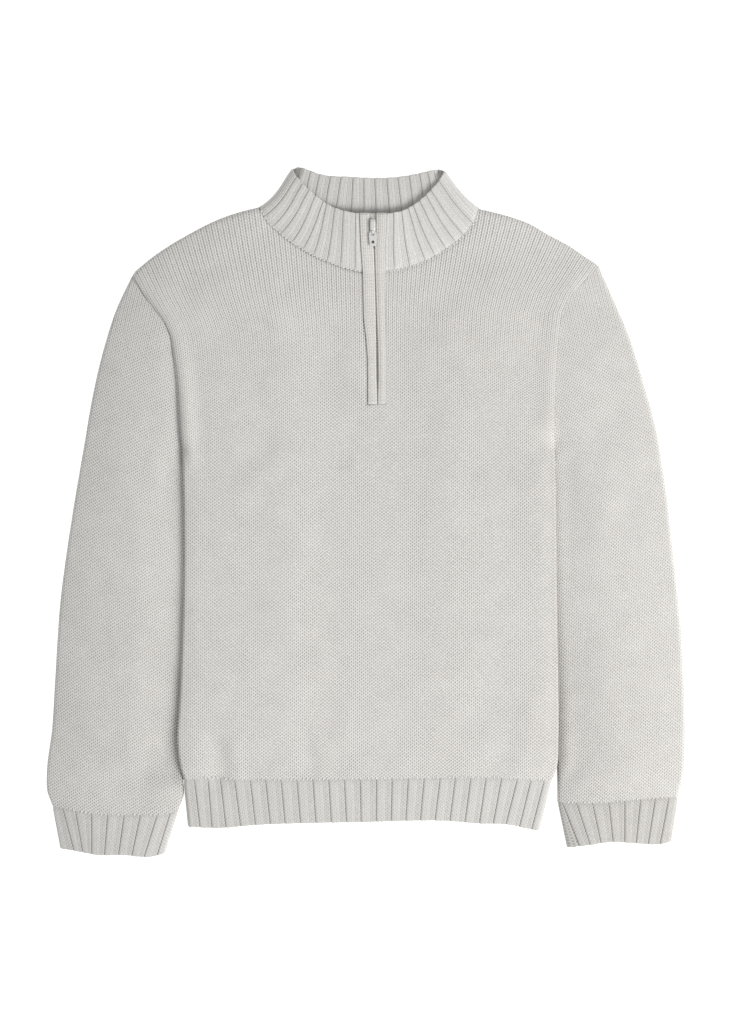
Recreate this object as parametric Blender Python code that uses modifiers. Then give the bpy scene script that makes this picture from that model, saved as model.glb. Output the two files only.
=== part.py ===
"""A child's quarter zip sweater, knitted and laid flat on its back.

The back lies on z = 0, +Y points to the neck, and the front looks up along +Z. Left and right are
as seen from the front, so left is -X. Sizes and outlines are in millimetres. Every piece of cloth
is a wall: its outer surface is a grid of points in plan, raised to the height at which the layer
lies. Its inner surface follows at the wall's thickness, and at a sewn edge it stays over the seam,
so pieces that meet never cross.
"""
import math

import bmesh
import bpy
import numpy as np
from mathutils import Matrix, Vector

MM = 0.001

# cloth
WALL = 2.5              # plain knit
RIB_WALL = 3.0          # ribbed collar
SEAM = 0.3              # left between sewn pieces
SLOT_GAP = 0.5          # left beside the zip bands, whose edges turn at other heights
LAID = 6.4              # back and front together, one lying on the other
PUFF = 2.2              # how much more the two stand up beside a rolled edge
NECK_PUFF = 1.6         # the same around the neck seam
PUFF_REACH = 45.0       # how far inwards that swelling runs
ROLL_RATIO = 1.15       # width of a rolled edge over half its height

# where the body's sides lie on the margins of the sleeves
MARGIN = 9.0            # width of the sleeve's margin under the body's side
MARGIN_LIFT = 6.1       # how far it lifts the body
MARGIN_REACH = 40.0     # where the body is flat again
MARGIN_PRESS = 0.9      # how much thinner the sleeve lies there
MARGIN_TOP = (48.0, 28.0)          # from no margin to a full one, going down in y
MARGIN_BOTTOM = (-216.0, -197.0)   # and the same at the hem, going up

# neck
COLLAR_RISE = 7.5       # how much higher the collar's rim stands than its seam
NECK_Y = 186.5          # where the neck seam meets the zip
RIM_Y = 231.5           # top of the collar at the zip
ZIP_FOOT_Y = 83.6       # lower end of the zip bands
BAND_PROUD = 0.7        # how far the bands stand above the front

# zip slider and pull tab, along the zip (u), across it (x) and off it (w), from the tab's axis
PIVOT_X, PIVOT_Y = 5.5, 217.0
PIVOT_HEIGHT = 1.1      # the tab's axis above the bands
TAB_THICKNESS = 0.8
TAB_LENGTH = 11.1
SLIDER_TOP = -0.85      # top of the slider's body
SLIDER_DEPTH = 3.3
HOOK_INNER, HOOK_OUTER, HOOK_WIDTH = 0.85, 1.65, 1.8
CROWN_FROM, CROWN_LENGTH, CROWN_WIDTH, CROWN_TOP = 0.95, 9.0, 4.2, 1.3
TAPE_WIDTH, TAPE_THICKNESS = 9.0, 0.8

# Outlines, rows of (x, y). Sides run from the hem up, sleeves from the shoulder down.
BODY_LEFT = [(-142, -209.5), (-145.5, -194), (-147, -176), (-145.5, -153), (-142.5, -86), (-141.7, -19),
             (-143.3, 48), (-145.6, 79), (-147.2, 102), (-150.3, 124), (-152.6, 137), (-158, 148),
             (-166, 158.7), (-174.5, 170), (-183, 183)]
BODY_RIGHT = [(145.3, -209.5), (148.4, -201), (150, -176), (150, -131), (149.2, -86), (148.4, -19),
              (147.7, 53.6), (147.7, 79), (148.4, 101), (150, 125), (151.6, 140), (154, 155),
              (162, 170), (172, 180.5), (182, 191.5)]
SHOULDER_LEFT = [(-183, 183), (-171.4, 194.6), (-156.5, 205.5), (-138, 216.5), (-120, 225.8),
                 (-101, 232.8), (-82.4, 237.5)]
SHOULDER_RIGHT = [(88.4, 236), (98.5, 233.6), (113.3, 229.7), (128.2, 224.3), (143, 215.7),
                  (161.7, 205.5), (172.6, 197.7), (182, 191.5)]
NECK_LEFT = [(-82.4, 237.5), (-77.8, 227.4), (-69.2, 218.8), (-59, 210.2), (-50.5, 205), (-40.3, 199),
             (-27.8, 193.8), (-15.4, 189.3), (-2.7, NECK_Y)]
NECK_RIGHT = [(15.6, NECK_Y), (27.5, 188.7), (40, 192.3), (52.5, 197.7), (62.6, 204), (71.2, 210.2),
              (79.8, 218.8), (86, 228.2), (88.4, 236)]
NECK_BACK = [(-82.4, 237.5), (-78, 230.5), (-68, 224.5), (-45, 219.5), (3, 217), (50, 219.5),
             (74, 224.5), (84, 230.5), (88.4, 236)]
FOLD_LEFT = [(-82.4, 237.5), (-73.9, 244.5), (-67.4, 252.3), (-62, 261), (-58, 267)]
FOLD_RIGHT = [(88.4, 236), (79, 244.5), (71.5, 252.7), (66.5, 259.5), (62, 265.5)]
RIM_LEFT = [(-58, 267), (-50, 256), (-42.7, 248.8), (-35, 242.6), (-25.5, 236.7), (-13.8, 233),
            (-5.1, RIM_Y)]
RIM_RIGHT = [(17.3, RIM_Y), (29, 234), (39.2, 239.9), (49, 248.4), (56.4, 257), (62, 265.5)]
RIM_BACK = [(-58, 267), (-53, 268.6), (-47, 266.9), (-35.6, 262.7), (-10.7, 260.5), (6.5, 259.7),
            (25.2, 260.5), (41.6, 263.3), (53, 266), (58.5, 266.8), (62, 265.5)]
HEM_TOP = [(-142, -209.5), (-128, -207), (-95, -209), (3, -208), (63, -207), (107, -207),
           (145.3, -209.5)]
HEM_BOTTOM = [(-138.6, -246), (-115, -246.9), (-84, -244.5), (-39, -243), (3, -242.2), (29, -241.4),
              (62.6, -241.4), (89, -243.5), (114, -244.7), (123.5, -246.9), (136, -249.2)]
SLEEVE_LEFT_OUTER = [(-183, 183), (-195, 157), (-204, 129), (-212, 96), (-220.5, 48), (-230.5, -12),
                     (-238.5, -71), (-242.5, -131), (-245, -170), (-249, -203), (-248.7, -219),
                     (-244.7, -229.7)]
SLEEVE_LEFT_INNER = [(-143.3, 48), (-143.4, 30), (-139, 8), (-134.5, -20), (-134, -86), (-136.5, -153),
                     (-140, -190), (-142.4, -209), (-142, -219.6), (-145.6, -232)]
SLEEVE_RIGHT_OUTER = [(182, 191.5), (191, 171), (206, 136), (216.5, 102.5), (226, 68), (234, 21.5),
                      (240.5, -35), (246.3, -91), (249, -142), (249.5, -180), (247.5, -209),
                      (244.4, -222.3)]
SLEEVE_RIGHT_INNER = [(147.7, 53.6), (148.2, 33), (144, 10), (140.5, -20), (141, -86), (142, -131),
                      (145, -168), (149, -195), (149.4, -210), (149.6, -226.6)]
CUFF_LEFT_TOP = [(-244.7, -229.7), (-236, -231.3), (-218, -234.4), (-195.5, -236), (-177.6, -236),
                 (-151, -234.4), (-145.6, -232)]
CUFF_LEFT_BOTTOM = [(-238.4, -263.3), (-223, -265.6), (-209, -267.9), (-191, -267.9), (-163.6, -268.7),
                    (-156.2, -266.4)]
CUFF_RIGHT_TOP = [(244.4, -222.3), (230.3, -222.7), (208.5, -224.3), (186, -226.6), (163.3, -226.6),
                  (149.6, -226.6)]
CUFF_RIGHT_BOTTOM = [(238.9, -257.4), (230.3, -259.4), (208.5, -258.6), (190.6, -257.8), (175, -260.1),
                     (157, -262.5)]

# The zip from its foot to the collar's rim: y, left edge of the left band, middle of the slit,
# half the slit's width, right edge of the right band
ZIP_ROWS = [
    (83.6, 1.6, 9.1, 0.2, 16.0), (92, 1.6, 9.1, 0.3, 16.0), (105, 1.6, 9.1, 0.8, 16.0),
    (120, 1.4, 8.9, 0.8, 16.0), (136, 0.1, 8.6, 0.6, 15.8), (150, -1.6, 8.2, 0.4, 15.6),
    (165, -2.0, 7.8, 0.3, 15.4), (186.5, -2.4, 7.2, 0.3, 15.3), (203, -3.6, 6.6, 0.3, 15.3),
    (208, -3.9, 6.2, 1.0, 15.5), (213, -4.1, 5.7, 2.4, 15.8), (217, -4.3, 5.5, 3.2, 16.2),
    (231.5, -4.8, 5.5, 3.2, 17.0)]

# How the grids are spaced, in shares from 0 to 1
UNDERARM = 0.6561       # the underarm on the body's side, from the hem up to the shoulder
ARM_TURN = 0.34         # where the armhole turns upright, from the shoulder to the underarm
SLOT_SHARE = 0.7593     # where the zip's slot ends, on the same scale
ARM = np.array([0, 0.02, 0.06, 0.14, 0.24, ARM_TURN, 0.5, SLOT_SHARE, 0.9, 0.965, 0.988, 1])
BODY_UP = np.concatenate([[0, 0.035, 0.1, 0.22, 0.36, 0.5, 0.58, 0.615, 0.642],
                          1 - ARM[::-1] * (1 - UNDERARM)])
NECK_SHARE = 0.5        # where the neck seam starts across each half of the body
NECK_ACROSS = np.array([0, 0.01, 0.045, 0.15, 0.33, 0.6, 1])
HALF_ACROSS = np.concatenate([[0, 0.01, 0.036, 0.09, 0.18, 0.32],
                              NECK_SHARE + NECK_ACROSS * (1 - NECK_SHARE)])
SLEEVE_ACROSS = np.array([0, 0.012, 0.045, 0.13, 0.3, 0.5, 0.7, 0.87, 0.955, 0.988, 1])
SLEEVE_BELOW = np.array([0.02, 0.06, 0.12, 0.22, 0.35, 0.5, 0.66, 0.8, 0.9, 0.96, 1])
OUTER_AT_UNDERARM = 0.29   # share of the sleeve's outer edge that lies level with the armhole
COLLAR_UP = np.array([0, 0.2, 0.45, 0.7, 0.88, 1])
BACK_NECK_ACROSS = np.array([0, 0.012, 0.05, 0.14, 0.3, 0.5, 0.7, 0.86, 0.95, 0.988, 1])
RIB_DOWN = np.array([0, 0.5, 1])
BAND_UP = np.array([83.6, 92, 105, 120, 136, 150, 165, 186.5, 197, 203, 208, 213, 217, 224, 231.5])
BAND_ACROSS = np.array([0, 0.25, 0.75, 1])
BODY_INSIDE, COLLAR_INSIDE = (3.0, 0.0), (3.0, 245.0)
SLEEVE_INSIDE = {"left": (-192.0, 20.0), "right": (195.0, 20.0)}


def curve(rows, by="length"):
    """A smooth curve through rows of numbers, as a function of 0 to 1 along it."""
    points = np.array(rows, float)
    if by == "length":
        steps = np.linalg.norm(np.diff(points, axis=0), axis=1)
    else:
        steps = np.abs(np.diff(points[:, "xy".index(by)]))
    knots = np.concatenate([[0], np.cumsum(steps)]) / steps.sum()
    slopes = np.gradient(points, knots, axis=0)

    def at(share):
        share = np.clip(np.asarray(share, float), 0, 1)
        i = np.clip(np.searchsorted(knots, share, side="right") - 1, 0, len(knots) - 2)
        span = (knots[i + 1] - knots[i])[..., None]
        f = (share - knots[i])[..., None] / span
        return ((1 + 2 * f) * (1 - f) ** 2 * points[i] + f * (1 - f) ** 2 * span * slopes[i]
                + f * f * (3 - 2 * f) * points[i + 1] + f * f * (f - 1) * span * slopes[i + 1])
    return at


def line(rows, by="length", count=160):
    """Points close together along a curve."""
    return curve(rows, by)(np.linspace(0, 1, count))


def join(first, second, share):
    """Two curves end to end, the second from a share of the whole."""
    def at(t):
        t = np.asarray(t, float)
        return np.where((t < share)[..., None], first(t / share), second((t - share) / (1 - share)))
    return at


def by_length(path, share, count=400):
    """The share of a curve's length that lies before each share of its parameter."""
    steps = np.linalg.norm(np.diff(path(np.linspace(0, 1, count)), axis=0), axis=1)
    run = np.concatenate([[0], np.cumsum(steps)]) / steps.sum()
    return np.interp(share, np.linspace(0, 1, count), run)


def step(value, low, high):
    """0 at low, 1 at high, and smooth between them."""
    f = np.clip((value - low) / (high - low), 0, 1)
    return f * f * (3 - 2 * f)


def nearest(points, paths, inside):
    """How far each point lies from the nearest of some paths, and the way from it inwards."""
    best = np.full(points.shape[:-1], np.inf)
    away = np.zeros(points.shape)
    for path in paths:
        for start, end in zip(path[:-1], path[1:]):
            along = end - start
            across = np.array([-along[1], along[0]]) / np.linalg.norm(along)
            across *= np.sign(across @ (np.array(inside) - start))
            f = np.clip(((points - start) @ along) / (along @ along), 0, 1)
            offset = points - start - f[..., None] * along
            far = np.linalg.norm(offset, axis=-1)
            way = np.where((far > 0.3)[..., None], offset / np.maximum(far, 0.3)[..., None], across)
            closer = far < best
            best = np.where(closer, far, best)
            away = np.where(closer[..., None], way, away)
    return best, away


def panel(left, right, bottom, top, across, up, bottom_fade=1, top_fade=1):
    """Plan points of a panel: ruled between its sides, and bent to its two ends."""
    s, v = across[None, :, None], up[:, None, None]
    low = bottom(across) - bottom(0) * (1 - across[:, None]) - bottom(1) * across[:, None]
    high = top(across) - top(0) * (1 - across[:, None]) - top(1) * across[:, None]
    return (left(up)[:, None] * (1 - s) + right(up)[:, None] * s
            + (1 - v) ** bottom_fade * low + v ** top_fade * high)


def edges_of(grid):
    """The four edges of a grid, each with the line of points next to it."""
    return {"bottom": (grid[0], grid[1]), "top": (grid[-1], grid[-2]),
            "left": (grid[:, 0], grid[:, 1]), "right": (grid[:, -1], grid[:, -2])}


def direction(edge):
    """Unit vectors along an edge."""
    along = np.gradient(edge, axis=0)
    return along / np.linalg.norm(along, axis=1, keepdims=True)


def drawn_in(grid, *sides):
    """A grid with some edges moved inwards by half the gap of a seam."""
    grid = grid.copy()
    for side in sides:
        edge, inner = edges_of(grid)[side]
        along = direction(edge)
        normal = np.stack([-along[:, 1], along[:, 0]], axis=1)
        normal *= np.sign(np.sum(normal * (inner - edge), axis=1, keepdims=True))
        edge += normal * SEAM / 2
    return grid


def kept_on_seams(shift, plan, **seams):
    """The shift of the inner surface, turned along the sewn edges; each takes a mask or True."""
    shift = shift.copy()
    for side, mask in seams.items():
        along = direction(edges_of(plan)[side][0])
        edge = edges_of(shift)[side][0]
        turned = along * np.sum(edge * along, axis=1, keepdims=True)
        edge[:] = np.where(np.broadcast_to(mask, len(edge))[:, None], turned, edge)
    return shift


OUTER_EDGES = [line(rows, count=60) for rows in
               (SHOULDER_LEFT, SHOULDER_RIGHT, FOLD_LEFT, FOLD_RIGHT, SLEEVE_LEFT_OUTER,
                SLEEVE_RIGHT_OUTER)]
OUTER_EDGES += [np.array([CUFF_LEFT_TOP[0], CUFF_LEFT_BOTTOM[0]], float),
                np.array([CUFF_RIGHT_TOP[0], CUFF_RIGHT_BOTTOM[0]], float)]
below_arm = np.linspace(0, UNDERARM, 60)
BODY_SIDES = [curve(BODY_LEFT, "y")(below_arm), curve(BODY_RIGHT, "y")(below_arm),
              np.array([HEM_TOP[0], HEM_BOTTOM[0]], float), np.array([HEM_TOP[-1], HEM_BOTTOM[-1]], float)]
SLEEVE_SIDES = [line(SLEEVE_LEFT_INNER, count=60), line(SLEEVE_RIGHT_INNER, count=60),
                np.array([CUFF_LEFT_TOP[-1], CUFF_LEFT_BOTTOM[-1]], float),
                np.array([CUFF_RIGHT_TOP[-1], CUFF_RIGHT_BOTTOM[-1]], float)]
NECK_SEAM = [line(NECK_LEFT, count=40), line(NECK_RIGHT, count=40)]


def lie(plan, inside, sleeve=False, rise=0.0):
    """The outer heights of the front and back layers over points in plan, the plan's way inwards
    where an edge rolls, scaled by how steep the cloth stands there, and how level it lies."""
    outer, outer_way = nearest(plan, OUTER_EDGES, inside)
    inner, inner_way = nearest(plan, SLEEVE_SIDES if sleeve else BODY_SIDES, inside)
    neck, _ = nearest(plan, NECK_SEAM, inside)
    margin = step(plan[..., 1], *MARGIN_TOP) * step(plan[..., 1], *MARGIN_BOTTOM)
    free = 1 - margin if sleeve else 1.0
    swell = np.maximum(step(outer, PUFF_REACH, 6), free * step(inner, PUFF_REACH, 6)) * PUFF
    thick = LAID + np.maximum(swell, step(neck, PUFF_REACH, 4) * NECK_PUFF) + rise
    lift = 0.0
    if sleeve:
        thick = thick - MARGIN_PRESS * margin * step(inner, 30, MARGIN)
    else:
        lift = MARGIN_LIFT * margin * step(inner, MARGIN_REACH, MARGIN)
    steep = 1 - np.minimum(np.minimum(outer, inner) / (ROLL_RATIO * thick / 2), 1)
    level = np.sqrt(1 - steep * steep)
    middle, half_gap = thick / 2, 0.0 if sleeve or np.any(rise) else SEAM / 2
    half = (middle - half_gap) * level
    front, back = middle + half_gap + half + lift, middle - half_gap - half + lift
    way = np.where((outer < inner)[..., None], outer_way, inner_way) * steep[..., None]
    return front, back, way, level


def raised(plan, height):
    """Plan points with their heights."""
    return np.concatenate([plan, np.broadcast_to(height, plan.shape[:-1])[..., None]], axis=-1)


def layer(plan, inside, face, wall, sleeve=False, rise=0.0, **seams):
    """The outer and inner points of one layer; face is 1 for the front and -1 for the back."""
    front, back, way, level = lie(plan, inside, sleeve, rise)
    height = front if face > 0 else back
    shift = kept_on_seams(way * wall, plan, **seams)
    return raised(plan, height), raised(plan + shift, height - face * level * wall)


def zip_at(y):
    """The zip's rows read at some heights: left edge, slit, half of the slit's width, right edge."""
    table = np.array(ZIP_ROWS)
    return [np.interp(y, table[:, 0], table[:, column]) for column in range(1, 5)]


def slot_edge(side, y):
    """An edge of the slot in the front, which the zip bands fill."""
    left, _, _, right = zip_at(np.maximum(y, ZIP_FOOT_Y))
    return left - SLOT_GAP if side == "left" else right + SLOT_GAP


def material(name, colour, roughness, metallic=0.0):
    """A plain surface with a colour given in linear red, green and blue."""
    made = bpy.data.materials.new(name)
    made.use_nodes = True
    shader = made.node_tree.nodes["Principled BSDF"]
    shader.inputs["Base Color"].default_value = (*colour, 1)
    shader.inputs["Roughness"].default_value = roughness
    shader.inputs["Metallic"].default_value = metallic
    made.diffuse_color = (*colour, 1)
    return made


def new_object(name, mesh, surface, collection):
    """An object for a mesh, in a collection."""
    mesh.materials.append(surface)
    made = bpy.data.objects.new(name, mesh)
    collection.objects.link(made)
    return made


def faces_between(rows, columns, left_out=()):
    """The faces of a grid of points, as indices into it, without some of its cells."""
    return [(row * columns + column, row * columns + column + 1,
             (row + 1) * columns + column + 1, (row + 1) * columns + column)
            for row in range(rows - 1) for column in range(columns - 1) if (row, column) not in left_out]


def cloth(name, outer, inner, surface, collection, turned=False, left_out=(), closed_rows=0):
    """A wall of cloth between two grids of points. In its closed rows, counted from the first, the
    last column is the first one again; turned faces look the other way."""
    rows, columns = outer.shape[:2]
    same = np.arange(rows * columns).reshape(rows, columns)
    same[:closed_rows, -1] = same[:closed_rows, 0]
    used, index = np.unique(same, return_inverse=True)
    index = index.reshape(-1)
    outside = [tuple(int(index[corner]) for corner in face) for face in
               faces_between(rows, columns, left_out)]
    if turned:
        outside = [face[::-1] for face in outside]
    count = len(used)
    borders = {edge for face in outside for edge in zip(face, face[1:] + face[:1])}
    rims = [(b, a, a + count, b + count) for a, b in sorted(borders) if (b, a) not in borders]
    inside = [tuple(corner + count for corner in face[::-1]) for face in outside]
    points = np.concatenate([outer.reshape(-1, 3)[used], inner.reshape(-1, 3)[used]])
    mesh = bpy.data.meshes.new(name)
    mesh.from_pydata((points * MM).tolist(), [], outside + inside + rims)
    mesh.shade_smooth()
    mesh.set_sharp_from_angle(angle=math.radians(50))
    return new_object(name, mesh, surface, collection)


def body_halves(neck_left, neck_right):
    """Plan grids of the left and right halves of a body panel, from the hem to the shoulders."""
    hem_x, hem_y = np.array(HEM_TOP).T

    def centre(side):
        def at(share):
            y = HEM_MIDDLE_Y + share * (NECK_Y - HEM_MIDDLE_Y)
            return np.stack([slot_edge(side, y), y], axis=-1)
        return at

    def hem(start, end):
        def at(share):
            x = start + np.asarray(share, float) * (end - start)
            return np.stack([x, np.interp(x, hem_x, hem_y)], axis=-1)
        return at

    slot_left, slot_right = slot_edge("left", 0.0), slot_edge("right", 0.0)
    left = panel(curve(BODY_LEFT, "y"), centre("left"), hem(hem_x[0], slot_left), neck_left,
                 HALF_ACROSS, BODY_UP, top_fade=3)
    right = panel(centre("right"), curve(BODY_RIGHT, "y"), hem(slot_right, hem_x[-1]), neck_right,
                  1 - HALF_ACROSS[::-1], BODY_UP, top_fade=3)
    return left, right


HEM_MIDDLE_Y = float(np.interp(slot_edge("left", 0.0), *np.array(HEM_TOP).T))


def front_plan():
    """The front in plan, both halves side by side; the slot lies between the two middle columns."""
    shoulder_left, neck_left = curve(SHOULDER_LEFT, "x"), curve(NECK_LEFT, "x")
    neck_right, shoulder_right = curve(NECK_RIGHT, "x"), curve(SHOULDER_RIGHT, "x")
    return body_halves(join(shoulder_left, neck_left, NECK_SHARE),
                       join(neck_right, shoulder_right, 1 - NECK_SHARE))


ABOVE_ARM = BODY_UP > UNDERARM + 1e-6


def front_body(surface, collection):
    """The front panel, open where the zip bands lie."""
    halves = front_plan()
    left, right = (drawn_in(half, "bottom", "top", side) for half, side in zip(halves, ("left", "right")))
    grids = [layer(left, BODY_INSIDE, 1, WALL, bottom=True, left=ABOVE_ARM, top=HALF_ACROSS >= NECK_SHARE),
             layer(right, BODY_INSIDE, 1, WALL, bottom=True, right=ABOVE_ARM,
                   top=HALF_ACROSS[::-1] >= NECK_SHARE)]
    outer, inner = (np.concatenate(pair, axis=1) for pair in zip(*grids))
    middle = len(HALF_ACROSS) - 1
    slot_row = len(BODY_UP) - 1 - int(np.flatnonzero(ARM == SLOT_SHARE)[0])
    slot = {(row, middle) for row in range(slot_row, len(BODY_UP))}
    return cloth("front_body", outer, inner, surface, collection, left_out=slot)


def back_plan():
    """The back in plan: the front's side rows, with the back's own neckline."""
    shoulder_left, shoulder_right = curve(SHOULDER_LEFT, "x"), curve(SHOULDER_RIGHT, "x")
    neck = curve(NECK_BACK, "x")
    outer = HALF_ACROSS[HALF_ACROSS < NECK_SHARE]
    wide = NECK_SHARE / 2
    across = np.concatenate([outer / 2, wide + BACK_NECK_ACROSS * (1 - 2 * wide), 1 - outer[::-1] / 2])

    def top(share):
        share = np.asarray(share, float)[..., None]
        left, mid, right = share[..., 0] / wide, (share[..., 0] - wide) / (1 - 2 * wide), \
            (share[..., 0] - 1 + wide) / wide
        return np.where(share < wide, shoulder_left(left),
                        np.where(share <= 1 - wide, neck(mid), shoulder_right(right)))

    hem_x, hem_y = np.array(HEM_TOP).T

    def bottom(share):
        x = hem_x[0] + np.asarray(share, float) * (hem_x[-1] - hem_x[0])
        return np.stack([x, np.interp(x, hem_x, hem_y)], axis=-1)

    return panel(curve(BODY_LEFT, "y"), curve(BODY_RIGHT, "y"), bottom, top, across, BODY_UP, top_fade=3)


def back_body(surface, collection):
    """The back panel, with its outer side on the ground."""
    plan = drawn_in(back_plan(), "bottom", "top", "left", "right")
    side = np.count_nonzero(HALF_ACROSS < NECK_SHARE)
    neck = np.zeros(plan.shape[1], bool)
    neck[side:-side] = True
    outer, inner = layer(plan, BODY_INSIDE, -1, WALL, bottom=True, left=ABOVE_ARM, right=ABOVE_ARM, top=neck)
    return cloth("back_body", outer, inner, surface, collection, turned=True)


def sleeve_plan(outer, inner, body_side, cuff):
    """A sleeve in plan, from its cuff up, and from its outer edge inwards. The upper part of the
    armhole is its top row, and the lower part is the end of its inner side."""
    seam = curve(body_side, "y")(BODY_UP)[::-1]
    turn, underarm = int(np.flatnonzero(ARM == ARM_TURN)[0]), len(ARM) - 1
    run = np.concatenate([[0], np.cumsum(np.linalg.norm(np.diff(seam[:turn + 1], axis=0), axis=1))])
    top = np.stack([np.interp(SLEEVE_ACROSS * run[-1], run, seam[:turn + 1, axis]) for axis in (0, 1)], axis=-1)
    inner_side = np.concatenate([seam[turn:underarm + 1], curve(inner)(SLEEVE_BELOW)])
    level = (np.arange(turn, underarm + 1) - turn) / (underarm - turn)
    outer_side = curve(outer)(np.concatenate([level * OUTER_AT_UNDERARM, OUTER_AT_UNDERARM
                                              + SLEEVE_BELOW * (1 - OUTER_AT_UNDERARM)]))
    across, down = SLEEVE_ACROSS[None, :, None], np.linspace(0, 1, len(inner_side))[:, None, None]
    bow_top = top - (top[0] * (1 - across[0]) + top[-1] * across[0])
    end = curve(cuff)(SLEEVE_ACROSS)
    bow_end = end - (end[0] * (1 - across[0]) + end[-1] * across[0])
    plan = (outer_side[:, None] * (1 - across) + inner_side[:, None] * across
            + (1 - down) ** 4 * bow_top + down ** 4 * bow_end)
    return plan[::-1], len(SLEEVE_BELOW) + 1


def tube(name, plan, closed_rows, wall, inside, surface, collection, mirrored):
    """A flattened tube of cloth: its back layer, its outer edge and its front layer. Above its
    closed rows it is open along the lower part of the armhole."""
    open_side = np.arange(len(plan)) >= closed_rows
    seams = dict(bottom=True, top=True, right=open_side)
    if closed_rows == len(plan):
        seams["right"] = False
    front, back = (layer(plan, inside, face, wall, sleeve=True, **seams) for face in (1, -1))
    outer, inner = (np.concatenate([under[:, ::-1], over[:, 1:]], axis=1) for under, over in zip(back, front))
    return cloth(name, outer, inner, surface, collection, turned=mirrored, closed_rows=closed_rows)


def cuff_plan(top, bottom):
    """A cuff in plan, from its open end up to the sleeve's seam."""
    high, low = curve(top)(SLEEVE_ACROSS), curve(bottom)(SLEEVE_ACROSS)
    down = RIB_DOWN[::-1, None, None]
    return high * (1 - down) + low * down


def hem_plan(top_row):
    """A hem rib in plan, from its open edge up to the panel's lowest row."""
    share = (top_row[:, 0] - top_row[0, 0]) / (top_row[-1, 0] - top_row[0, 0])
    down = RIB_DOWN[::-1, None, None]
    return top_row * (1 - down) + curve(HEM_BOTTOM, "x")(share) * down


def hem_rib(name, top_row, face, surface, collection):
    """The front or back layer of the hem rib."""
    plan = drawn_in(hem_plan(top_row), "top")
    outer, inner = layer(plan, BODY_INSIDE, face, WALL, bottom=True, top=True)
    return cloth(name, outer, inner, surface, collection, turned=face < 0)


def collar_plan():
    """The collar in plan, from the left band round the back to the right band; and each row's rise."""
    left_seam, right_seam = curve(NECK_LEFT, "x"), curve(NECK_RIGHT, "x")
    left_rim, right_rim = curve(RIM_LEFT), curve(RIM_RIGHT)

    def band_side(side):
        def at(share):
            y = NECK_Y + share * (RIM_Y - NECK_Y)
            return np.stack([slot_edge(side, y), y], axis=-1)
        return at

    left = panel(curve(FOLD_LEFT), band_side("left"), left_seam,
                 lambda share: left_rim(by_length(left_seam, share)), NECK_ACROSS, COLLAR_UP)
    right = panel(band_side("right"), curve(FOLD_RIGHT), right_seam,
                  lambda share: right_rim(by_length(right_seam, share)), 1 - NECK_ACROSS[::-1], COLLAR_UP)
    seam = curve(NECK_BACK, "x")
    back = panel(curve(FOLD_LEFT), curve(FOLD_RIGHT), seam,
                 lambda share: curve(RIM_BACK)(by_length(seam, share)), BACK_NECK_ACROSS, COLLAR_UP)
    return left, back, right


def collar_rise(share):
    """How much the collar's front stands above its seam at a share of its height."""
    return COLLAR_RISE * np.sin(share * math.pi / 2)


def collar(surface, collection):
    """The collar: its front raised over its back, folded at both sides, open at the zip."""
    rise = collar_rise(COLLAR_UP)[:, None]
    left, back, right = (layer(drawn_in(plan, "bottom"), COLLAR_INSIDE, face, RIB_WALL, rise=rise, bottom=True)
                         for plan, face in zip(collar_plan(), (1, -1, 1)))
    outer, inner = (np.concatenate([a[:, :0:-1], b, c[:, -2::-1]], axis=1)
                    for a, b, c in zip(left, back, right))
    return cloth("collar", outer, inner, surface, collection, turned=True)


def front_top(x, y):
    """Height of the front or the collar along the zip."""
    plan = np.stack(np.broadcast_arrays(x, y), axis=-1).astype(float)
    share = np.clip((plan[..., 1] - NECK_Y) / (RIM_Y - NECK_Y), 0, 1)
    return lie(plan, BODY_INSIDE, rise=collar_rise(share))[0]


def strip(name, grid, wall, surface, collection):
    """A wall of even thickness under a strip of points."""
    rows, columns = grid.shape[:2]
    mesh = bpy.data.meshes.new(name)
    mesh.from_pydata((grid.reshape(-1, 3) * MM).tolist(), [], faces_between(rows, columns))
    made = new_object(name, mesh, surface, collection)
    solidify = made.modifiers.new("wall", "SOLIDIFY")
    solidify.thickness = wall * MM
    solidify.offset = -1
    return made


def zip_band(name, side, surface, collection):
    """One of the two bands that frame the zip, a little proud of the front and round across."""
    left, slit, half, right = zip_at(BAND_UP)
    start, end = (left, slit - half) if side == "left" else (slit + half, right)
    x = start[:, None] + (end - start)[:, None] * BAND_ACROSS
    y = np.broadcast_to(BAND_UP[:, None], x.shape)
    height = front_top(x, y) + BAND_PROUD * np.sin(BAND_ACROSS * math.pi) ** 0.5
    return strip(name, np.stack([x, y, height], axis=-1), WALL, surface, collection)


def zip_tape(surface, collection):
    """The tape and its chain, just under the two bands."""
    _, slit, _, _ = zip_at(BAND_UP)
    x = slit[:, None] + TAPE_WIDTH * (np.array([0, 0.5, 1]) - 0.5)
    y = np.broadcast_to(BAND_UP[:, None], x.shape)
    height = front_top(x, y) - WALL - SEAM
    return strip("zip_tape", np.stack([x, y, height], axis=-1), TAPE_THICKNESS, surface, collection)


def zip_frame():
    """The place of the pull tab's axis, turned to lie along the collar's slope."""
    low, high = (float(front_top(PIVOT_X, y)) for y in (PIVOT_Y - 3, PIVOT_Y + 3))
    middle = float(front_top(PIVOT_X, PIVOT_Y)) + BAND_PROUD + PIVOT_HEIGHT
    slope = math.atan2(high - low, 6)
    return Matrix.Translation(Vector((PIVOT_X, PIVOT_Y, middle)) * MM) @ Matrix.Rotation(slope, 4, "X")


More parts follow.
